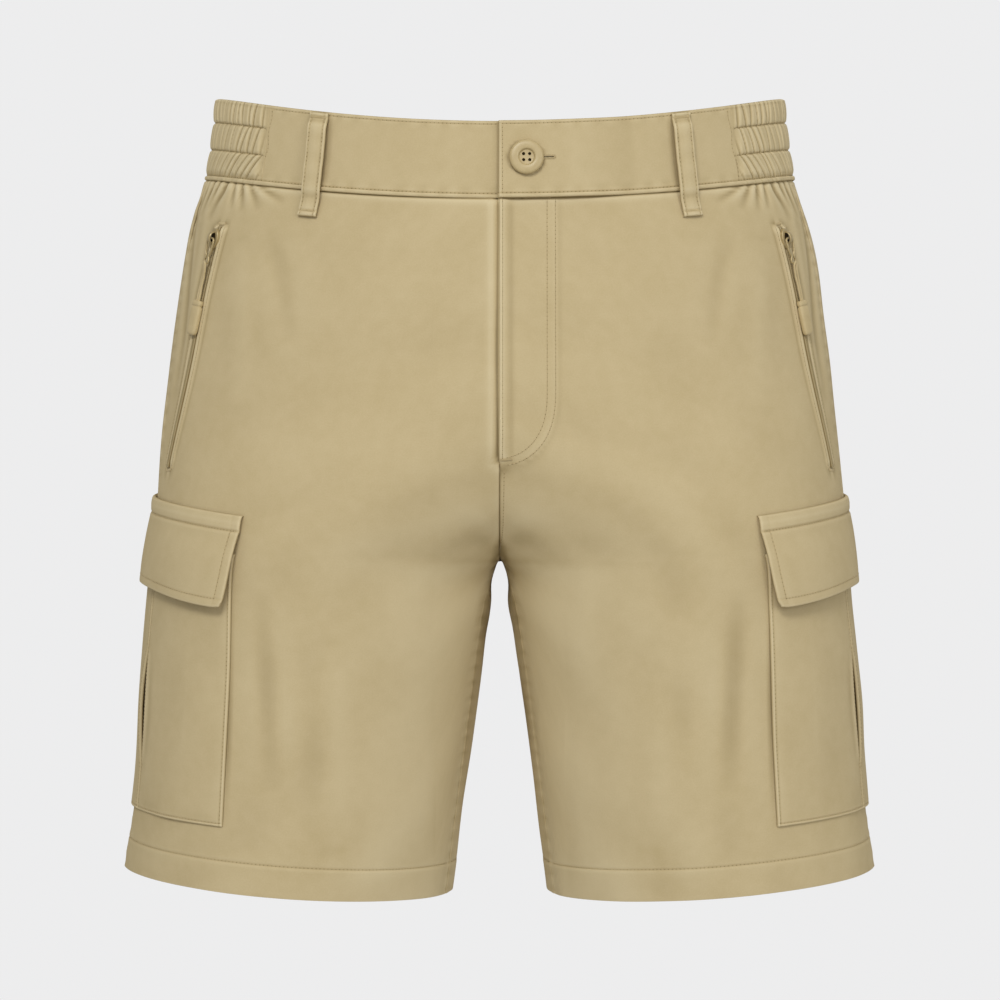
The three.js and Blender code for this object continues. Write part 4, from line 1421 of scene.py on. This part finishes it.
def bar_tack(side, start, end, lift_of):
    """Close stitches across a short line from one (angle, level) place to another."""
    t = np.linspace(0, 1, 12)
    angle = start[0] + (end[0] - start[0]) * t
    level = start[1] + (end[1] - start[1]) * t
    return crosswise(stitched(side, angle, level, lift_of, 0.42, 0.15))


# The needle holes' dips are coloured dark as painted shade.
NEEDLE_SHADE = finish_from(
    PLAIN, "needle_hole_shade", (140, 120, 80), (120, 101, 64), {"Speck Size": 1500, "Rough": 0.9}, 0.02,
    Specular_IOR_Level=0.1,
)
STITCH = small_capsule(STITCH_LENGTH, 2 * THREAD_RADIUS, 1.7 * THREAD_RADIUS)
ROW = with_hole(STITCH, STITCH_PITCH / 2, 0.55)
TACK = small_capsule(1.9, 0.5, 0.55)
print("triangles in one stitch:", len(ROW[1]))

# %% Lines of stitching on the waistband and the loops
def sweep(start, end, count=90):
    """Angles or levels along a line, finely enough for its stitches."""
    return np.linspace(start, end, count)


def even(value, like):
    """The same value for each place of a line."""
    return np.full_like(like, float(value))


for name, side in SIDES:
    lines = []
    band = on_side(band_lift, side)
    gathered = on_side(elastic_lift, side)
    close = 90 + END_TUCK - 2.3 * degrees_for(1.0, 90, 20)
    front = sweep(ELASTIC_FRONT + 1.5, close if side > 0 else 90, 120)
    for level in (TOP_STITCH, LOW_STITCH):
        lines.append(stitched(side, front, even(level, front), band))
    elastic = sweep(ELASTIC_FRONT, ELASTIC_BACK, 400)
    for level in (UPPER_ROW, LOWER_ROW, LOW_STITCH):
        lines.append(stitched(side, elastic, even(level, elastic), gathered, STITCH_PITCH, 0.2))
    down = sweep(1.5, 47, 60)
    border = ELASTIC_FRONT + 1.0 - 1.3 * down / 47 + 0.25 * np.sin(down / 3.4)
    lines.append(stitched(side, border, down, band))
    lines.append(stitched(side, even(ELASTIC_BACK - 0.9, down), down, band))
    if side > 0:
        lines.append(stitched(side, even(close, down), sweep(TOP_STITCH, LOW_STITCH, 60), band))
    back = sweep(ELASTIC_BACK - 1.5, CENTRE_BACK)
    for level in (TOP_STITCH, LOW_STITCH):
        lines.append(stitched(side, back, even(level, back), band))
    band_stitches = copies(f"band_stitching_{name}", ROW, lines, THREAD)
    print(band_stitches.name, len(band_stitches.data.polygons))

lines = []
tacks = []
for name, side, middle in LOOPS:
    half = LOOP_WIDTH / 2 - 1.9
    down = sweep(2.5, 65.5, 90)
    for across in (-half, half):
        edge = beside(middle, across, down)
        lines.append(stitched(side, edge, down, lambda a, l, x=across: loop_lift(x, l)))
    for level in LOOP_TACKS:
        reach = 5.2 * degrees_for(1.0, middle, level)
        place = ((middle - reach, level), (middle + reach, level))
        tacks.append(bar_tack(side, *place, lambda a, l, m=middle: loop_lift(off_line(a, m, l), l)))
copies("loop_stitching", ROW, lines, THREAD)
copies("loop_bar_tacks", TACK, tacks, THREAD)

# %% Lines of stitching on the legs
def fly_angle(level, width):
    """The angle at which the fly's curved line lies that far from the middle."""
    return angle_at(fly_curve(level, width), level)


for name, side in SIDES:
    front_of = on_side(front_lift, side)
    back_of = on_side(back_lift, side)
    lines = []
    tacks = []
    if side > 0:
        for width in (32.0, 27.2):
            turn = 1 - (1 - np.linspace(0, 1, 200)) ** 2
            down = WAIST_SEAM + 1 + (FLY_END - (FLY_WIDTH - width) - 0.4 - WAIST_SEAM - 1) * turn
            lines.append(stitched(side, fly_angle(down, width), down, front_of))
        down = sweep(WAIST_SEAM + 1, FLY_END - 6, 120)
        lines.append(stitched(side, angle_at(even(1.5, down), down), down, front_of))
        ends = angle_at(np.array([7.0, 0.2]), FLY_END - 5)
        tacks.append(bar_tack(side, (ends[0], FLY_END - 5), (ends[1], FLY_END - 5), front_of))
        down = sweep(FLY_END + 2, CROTCH - 3, 60)
        edge = middle_angle(down) - 2.4 * degrees_for(1.0, middle_angle(down) - 2, down)
        lines.append(stitched(side, edge, down, front_of))
    for across in (-5.0, 5.0):
        down = sweep(ZIP_TOP - 1, ZIP_LOW + 1, 110)
        lines.append(stitched(side, beside(zip_angle(down), across, down), down, front_of))
    for level in (ZIP_TOP - 2.2, ZIP_LOW + 1.5):
        reach = 3.4 * degrees_for(1.0, zip_angle(level), level)
        place = ((zip_angle(level) - reach, level), (zip_angle(level) + reach, level))
        tacks.append(bar_tack(side, *place, front_of))
    front = sweep(SIDE_SEAM + 0.6, 160.5, 220)
    lines.append(stitched(side, front, even(HEM_STITCH, front), front_of))
    back = sweep(SIDE_SEAM - 0.6, -194.5, 240)
    lines.append(stitched(side, back, even(HEM_STITCH, back), back_of))
    if side > 0:
        down = sweep(WAIST_SEAM + 1, CROTCH - 3, 130)
        for across in (1.8, 7.5):
            seat = -middle_angle(down) + across * degrees_for(1.0, -88, down)
            lines.append(stitched(side, seat, down, back_of))
    leg_stitches = copies(f"leg_stitching_{name}", ROW, lines, THREAD)
    copies(f"leg_bar_tacks_{name}", TACK, tacks, THREAD)
    print(leg_stitches.name, len(leg_stitches.data.polygons))

# %% Lines of stitching on the pockets and flaps
for name, side in SIDES:
    lines = []
    tacks = []

    def pocket_of(toward, far_edge, s=side):
        def lift_of(a, l):
            edge = -toward * off_line(a, far_edge(l), l)
            seam = toward * off_line(a, POCKET_SEAM, l) - 0.15 - slit_half(l)
            return pocket_lift(s, a, l, edge, POCKET_LOW - l, np.maximum(seam, 0))
        return lift_of

    for _, toward, far_edge, *_ in POCKET_PIECES:
        lift_of = pocket_of(toward, far_edge)
        down = sweep(POCKET_TOP + 24, POCKET_HEM, 110)
        edge = beside(far_edge(down), -toward * 1.9, down)
        lines.append(stitched(side, edge, down, lift_of))
        low = sweep(POCKET_SEAM + toward * 1.6, edge[-1], 80)
        lines.append(stitched(side, low, even(POCKET_HEM, low), lift_of))
        lip = beside(POCKET_SEAM, toward * (2.2 + slit_half(down)), down)
        lines.append(stitched(side, lip, down, lift_of))
    for level in (SLIT_TOP - 1.5, SLIT_LOW + 1.5):
        reach = 3.2 * degrees_for(1.0, POCKET_SEAM, level)
        place = ((POCKET_SEAM - reach, level), (POCKET_SEAM + reach, level))
        tacks.append(bar_tack(side, *place, pocket_of(1, pocket_front_edge)))

    def flap_line(across, down, s=side):
        angle, level = flap_place(across, down)
        lift = flap_lift(s, across, down)
        points = form_point(s, angle, level, lift + 0.1)
        return spaced(points, outward(s, angle, level), STITCH_PITCH)

    inset = FLAP_INSET / FLAP_WIDE
    low = 1 - FLAP_INSET / FLAP_TALL
    fold = FLAP_FOLD / FLAP_TALL
    down = np.linspace(fold, low, 40)
    lines.append(flap_line(even(inset, down), down))
    lines.append(flap_line(even(1 - inset, down), down))
    across = np.linspace(inset, 1 - inset, 160)
    lines.append(flap_line(across, even(low, across)))
    across = np.linspace(0.008, 0.992, 170)
    lines.append(flap_line(across, even(fold, across)))
    pocket_stitches = copies(f"pocket_stitching_{name}", ROW, lines, THREAD)
    copies(f"pocket_bar_tacks_{name}", TACK, tacks, THREAD)
    print(pocket_stitches.name, len(pocket_stitches.data.polygons))

# %% [markdown]
# ## Side pocket zips
# A closed zip is a woven tape with a ridge of small interlocking coils down its middle, sunk between the two
# folded lips of the pocket's opening. The tape is a strip of cloth laid in the same way as the panels. The
# coils are copies of one small capsule set across the line. Painted teeth would look flat from the side.

# %% Tape and coils
TAPE_HALF = 5.1
CHAIN_HALF = 1.35
COIL = small_capsule(2.5, 0.8, 0.9)
TAPE_COIL = finish_from(
    PLAIN, "zip_coil_nylon", (184, 166, 122), (158, 139, 96), {"Speck Size": 1800, "Rough": 0.5}, 0.03,
    Specular_IOR_Level=0.4,
)


def tape_lift(across):
    ridge = 1.15 * (1 - eased(np.abs(across), CHAIN_HALF - 0.2, CHAIN_HALF + 0.25))
    return 0.42 + ridge


def chain_lift(angle, level):
    return tape_lift(zip_across(angle, level))


for name, side in SIDES:
    level = crowded(ZIP_TOP, ZIP_LOW, 2.2)[:, None]
    across = crowded(-TAPE_HALF, TAPE_HALF, 0.5)[None, :]
    angle = beside(zip_angle(level), across, level)
    tape = cloth_on_form(f"zip_tape_{name}_cloth", side, angle, level, tape_lift(across), 0.35, TAPE)
    dress(tape, f"zip_tape_{name}")
    down = np.linspace(ZIP_TOP + 1.5, ZIP_LOW - 1.0, 160)
    row = crosswise(stitched(side, zip_angle(down), down, chain_lift, 1.1, 0.12))
    coils = copies(f"zip_coils_{name}", COIL, [row], TAPE_COIL)
    print(coils.name, "coils:", len(row[0]))

# %% [markdown]
# ## Rings and tubes
# Cords, wires, a button and a moulded grip are all stacks of closed rings. Blender's circle operator makes
# each ring, and bridging joins one ring to the next. A turned profile with the Spin tool would do for the
# button alone, but rings also follow a bent path and take a rounded square section.

# %% Ring and tube makers
ACROSS = Vector((1, 0, 0))
DOWN_UP = Vector((0, 1, 0))
UP = Vector((0, 0, 1))


def ring(shape, middle, across, over, wide, high, turns=10, square=1.0):
    """One ring of edges round a middle; a square below 1 makes the section more of a rounded square."""
    made = bmesh.ops.create_circle(shape, cap_ends=False, radius=1.0, segments=turns)["verts"]
    for corner in made:
        x = math.copysign(abs(corner.co.x) ** square, corner.co.x)
        y = math.copysign(abs(corner.co.y) ** square, corner.co.y)
        corner.co = middle + across * (wide * x) + over * (high * y)
    return list({edge for corner in made for edge in corner.link_edges})


def joined_rings(shape, rings, closed=False):
    for first, second in zip(rings, rings[1:]):
        bmesh.ops.bridge_loops(shape, edges=first + second)
    if closed:
        bmesh.ops.bridge_loops(shape, edges=rings[-1] + rings[0])
    else:
        for end in (rings[0], rings[-1]):
            bmesh.ops.contextual_create(shape, geom=end)


def tube(shape, path, radius, closed=False, flat=1.0, turns=8):
    """A wire along a path of (x, y, z) places in millimetres."""
    places = [Vector(place) for place in path]
    last = len(places) - 1
    rings = []
    for i, place in enumerate(places):
        ahead = places[(i + 1) % len(places)] if closed else places[min(i + 1, last)]
        behind = places[i - 1] if closed else places[max(i - 1, 0)]
        forward = (ahead - behind).normalized()
        reference = UP if abs(forward.z) < 0.9 else DOWN_UP
        across = forward.cross(reference).normalized()
        over = across.cross(forward)
        rings.append(ring(shape, place, across, over, radius, radius * flat, turns))
    joined_rings(shape, rings, closed)


def arc(middle, radius, start, end, count):
    """Places along an arc in the flat of the pull; the angles are in degrees."""
    places = []
    for turn in np.radians(np.linspace(start, end, count)):
        places.append((middle[0] + radius * math.cos(turn), middle[1] + radius * math.sin(turn), 0))
    return places


def frame_at(origin, down, out):
    """The place and turn of a small part: its Y axis up the garment and its Z axis outwards."""
    y = -Vector(down).normalized()
    z = Vector(out)
    z = (z - y * z.dot(y)).normalized()
    x = y.cross(z)
    turn = Matrix((x, y, z)).transposed().to_4x4()
    return Matrix.Translation(Vector(origin)) @ turn @ Matrix.Scale(MM, 4)


def finished(name, shape, place, finish, body, crisp=38):
    """Puts a shape that was made in millimetres in its place and shades it."""
    bmesh.ops.recalc_face_normals(shape, faces=shape.faces)
    bmesh.ops.transform(shape, matrix=place, verts=shape.verts)
    mesh = bpy.data.meshes.new(name)
    shape.to_mesh(mesh)
    shape.free()
    mesh.polygons.foreach_set("use_smooth", np.ones(len(mesh.polygons), bool))
    mesh.set_sharp_from_angle(angle=math.radians(crisp))
    mesh.materials.append(finish)
    piece = placed(name, mesh)
    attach(piece, body)
    return piece


# %% [markdown]
# ## Slider
# The slider is two small plates with a wedge between them and a bridge on top that holds the pull. Only the
# upper plate and the bridge show. The plate is a circle whose corners are moved into the slider's shield
# outline, then extruded and bevelled; the bridge is a bent, flattened wire.

# %% Slider and its bridge
SLIDER_LEVEL = 86
HINGE_LIFT = 5.0
HANG_LEVEL = 134  # the pull hangs along the zip's line, towards this level
HANG_LIFT = 3.6


def slider_plate(shape, low, high):
    """A shield-shaped plate between two heights."""
    made = bmesh.ops.create_circle(shape, cap_ends=True, radius=1.0, segments=28)["verts"]
    for corner in made:
        x, y = corner.co.x, corner.co.y
        waist = 1 - 0.34 * eased(-y, 0.1, 0.75) - 0.10 * eased(y, 0.55, 1.0)
        corner.co = Vector((4.1 * waist * math.copysign(abs(x) ** 0.72, x), 6.4 * y, low))
    face = made[0].link_faces[0]
    grown = bmesh.ops.extrude_face_region(shape, geom=[face])["geom"]
    lifted = [item for item in grown if isinstance(item, bmesh.types.BMVert)]
    bmesh.ops.translate(shape, verts=lifted, vec=(0, 0, high - low))
    rim = [e for e in shape.edges if all(v in lifted for v in e.verts)]
    bmesh.ops.bevel(
        shape, geom=rim, offset=0.45, offset_type="OFFSET", segments=3, profile=0.5, affect="EDGES",
        material=-1,
    )


def hinge_place(side):
    angle = zip_angle(SLIDER_LEVEL)
    hinge = Vector(form_point(side, angle, SLIDER_LEVEL, HINGE_LIFT))
    down = Vector(form_point(side, zip_angle(HANG_LEVEL), HANG_LEVEL, HANG_LIFT)) - hinge
    return frame_at(hinge, down, outward(side, angle, SLIDER_LEVEL))


for name, side in SIDES:
    place = hinge_place(side)
    shape = bmesh.new()
    slider_plate(shape, -3.3, -1.45)
    bridge = [(0, -2.9, -1.9), (0, -2.6, -0.6), (0, -1.9, 0.7), (0, -0.8, 1.45), (0, 0.6, 1.6)]
    bridge += [(0, 2.0, 1.35), (0, 3.2, 0.55), (0, 3.9, -0.7), (0, 4.1, -1.9)]
    tube(shape, bridge, 1.25, flat=0.5, turns=12)
    slider = finished(f"zip_slider_{name}_metal", shape, place, METAL, "garment")
    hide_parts(f"zip_slider_{name}")
    shape = bmesh.new()
    # A dark oval under the bridge is painted shade, where the slider is hollow.
    throat_shade = []
    for height, size in ((-1.6, 1.0), (-1.38, 0.97), (-1.3, 0.8)):
        middle = Vector((0, 0.4, height))
        throat_shade.append(ring(shape, middle, ACROSS, DOWN_UP, 2.3 * size, 3.6 * size, 20))
    joined_rings(shape, throat_shade)
    finished(f"zip_slider_{name}_throat", shape, place, DARK, "garment")
    print(slider.name, "faces:", len(slider.data.polygons))

# %% [markdown]
# ## Pulls
# Each pull is a bent wire link that hangs in the slider's bridge, a doubled cord through its eye, and a
# moulded grip that closes the cord's ends. The link and cord are tubes along a path, the grip is a stack of
# rounded rings with a groove under its cap. All of it turns with the pull's own hinge.

# %% Link, cord and grip
for name, side in SIDES:
    place = hinge_place(side)
    body = f"pull_{name}"
    shape = bmesh.new()
    link = [(-2.6, 0.0, 0), (-1.2, 0.25, 0), (1.2, 0.25, 0), (2.6, 0.0, 0), (3.2, -0.9, 0), (3.1, -3.2, 0)]
    link += [(2.9, -6.4, 0), (2.2, -8.6, 0), (1.35, -9.9, 0), (1.25, -10.9, 0)]
    link += arc((0, -13.4), 2.1, 50, -230, 15)
    link += [(-1.25, -10.9, 0), (-1.35, -9.9, 0), (-2.2, -8.6, 0), (-2.9, -6.4, 0), (-3.1, -3.2, 0)]
    link += [(-3.2, -0.9, 0)]
    tube(shape, link, 0.62, closed=True, turns=10)
    wire = finished(f"zip_link_{name}", shape, place, METAL, body)
    shape = bmesh.new()
    strand = [(0.75, -39.5, 0), (0.85, -34, 0.1), (0.7, -29, 0.2), (0.95, -24, 0.1), (0.8, -19.5, 0.3)]
    strand += [(0.9, -16.8, 0.7), (0.8, -15.2, 1.2), (0.0, -14.3, 1.3), (-0.8, -15.0, 1.1)]
    strand += [(-0.9, -16.6, 0.4), (-0.8, -19.5, -0.1), (-0.95, -24, -0.2), (-0.7, -29, 0.0)]
    strand += [(-0.85, -34, 0.1), (-0.75, -39.5, 0)]
    tube(shape, strand, 0.74, turns=10)
    cord = finished(f"zip_cord_{name}", shape, place, THREAD, body, 80)
    shape = bmesh.new()
    stack = [
        (-37.9, 2.6, 1.0), (-38.1, 3.4, 1.5), (-38.6, 3.95, 1.85), (-39.6, 4.15, 1.95), (-40.6, 4.15, 1.95),
        (-41.0, 3.95, 1.75), (-41.2, 3.7, 1.5), (-41.6, 3.7, 1.5), (-41.9, 4.0, 1.75), (-42.6, 4.3, 1.95),
        (-48.0, 4.4, 2.0), (-54.5, 4.3, 1.95), (-57.2, 4.1, 1.85), (-58.3, 3.6, 1.55), (-58.9, 2.7, 1.0),
    ]
    rings = []
    for y, wide, high in stack:
        rings.append(ring(shape, Vector((0, y, 0)), ACROSS, UP, wide, high, 28, 0.62))
    joined_rings(shape, rings)
    grip = finished(f"zip_grip_{name}", shape, place, GRIP, body, 60)
    for piece in (wire, cord, grip):
        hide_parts(f"zip_pull_{name}")
    print(body, "faces:", [len(piece.data.polygons) for piece in (wire, cord, grip)])

# %% [markdown]
# ## Button and buttonhole
# The button is a turned disc with a broad ring round a dished middle and four holes. Rings give its
# profile, and a boolean drills the holes, as a factory would. The buttonhole is a slit bound with close
# stitches; the button hides most of it.

# %% Button
PROFILE = [
    (1.0, 1.75), (3.2, 1.8), (4.2, 1.9), (4.45, 2.3), (4.6, 2.95), (4.85, 3.4), (5.4, 3.62), (7.0, 3.68),
    (8.3, 3.6), (9.1, 3.4), (9.6, 3.0), (9.92, 2.4), (10.0, 1.8), (9.9, 1.1), (9.4, 0.45), (8.6, 0.05),
    (4.0, 0.0),
]
HOLE_OFFSET = 1.75


def four_posts(start, height, radius, depth, segments):
    """Cylinders in the places of the four holes."""
    posts = bmesh.new()
    for x in (-HOLE_OFFSET, HOLE_OFFSET):
        for y in (-HOLE_OFFSET, HOLE_OFFSET):
            where = start @ Matrix.Translation((x, y, height))
            bmesh.ops.create_cone(
                posts, cap_ends=True, segments=segments, radius1=radius, radius2=radius, depth=depth,
                matrix=where,
            )
    return posts


button_lift = float(band_lift(1, np.array(BUTTON_ANGLE), np.array(BUTTON_LEVEL))) + 0.3
below = Vector(form_point(1, BUTTON_ANGLE, BUTTON_LEVEL + 5, 0.0))
above = Vector(form_point(1, BUTTON_ANGLE, BUTTON_LEVEL - 5, 0.0))
facing = form_normal(BUTTON_ANGLE, BUTTON_LEVEL)
seat = frame_at(form_point(1, BUTTON_ANGLE, BUTTON_LEVEL, button_lift), below - above, facing)
shape = bmesh.new()
rings = []
for radius, height in PROFILE:
    rings.append(ring(shape, Vector((0, 0, height)), ACROSS, DOWN_UP, radius, radius, 64))
joined_rings(shape, rings)
button = finished("button_disc", shape, seat, PLASTIC, "garment", 50)
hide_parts("button")
drills = four_posts(seat, 1.5, 0.95, 6.0, 24)
cutter_mesh = bpy.data.meshes.new("drills")
drills.to_mesh(cutter_mesh)
drills.free()
cutter = placed("drills", cutter_mesh)
cut = button.modifiers.new("holes", "BOOLEAN")
cut.object = cutter
cut.operation = "DIFFERENCE"
cut.solver = "EXACT"
settled = button.evaluated_get(bpy.context.evaluated_depsgraph_get())
drilled = bpy.data.meshes.new_from_object(settled)
button.modifiers.clear()
button.data = drilled
bpy.data.objects.remove(cutter)
print("button faces after drilling:", len(drilled.polygons))

# Dark plugs in the holes are painted shade, where the holes are deep.
shape = four_posts(Matrix.Identity(4), 0.45, 0.9, 0.8, 16)
finished("button_hole_painted_shade", shape, seat, DARK, "garment")

# %% Buttonhole
PURL = small_capsule(1.35, 0.5, 0.55)
HOLE = (10.0, 30.6)
band = on_side(band_lift, 1)
x = np.linspace(*HOLE, 60)
lines = []
for offset in (-0.85, 0.85):
    down = even(BUTTON_LEVEL + offset, x)
    lines.append(crosswise(stitched(1, angle_at(x, down), down, band, 0.46, 0.18)))
for end in HOLE:
    half_circle = np.linspace(-1, 1, 9)
    toward = 1 if end == HOLE[1] else -1
    reach = end + toward * 0.9 * np.sqrt(np.maximum(1 - half_circle ** 2, 0))
    down = BUTTON_LEVEL + 0.9 * half_circle
    lines.append(crosswise(stitched(1, angle_at(reach, down), down, band, 0.42, 0.18)))
copies("buttonhole_stitching", PURL, lines, THREAD)
# A line of dark capsules down the slit is painted shade.
SLIT_SHADE = small_capsule(1.3, 0.62, 0.3)
down = even(BUTTON_LEVEL, x)
lines = [stitched(1, angle_at(x, down), down, band, 0.6, 0.06)]
copies("buttonhole_slit_shade", SLIT_SHADE, lines, DARK)
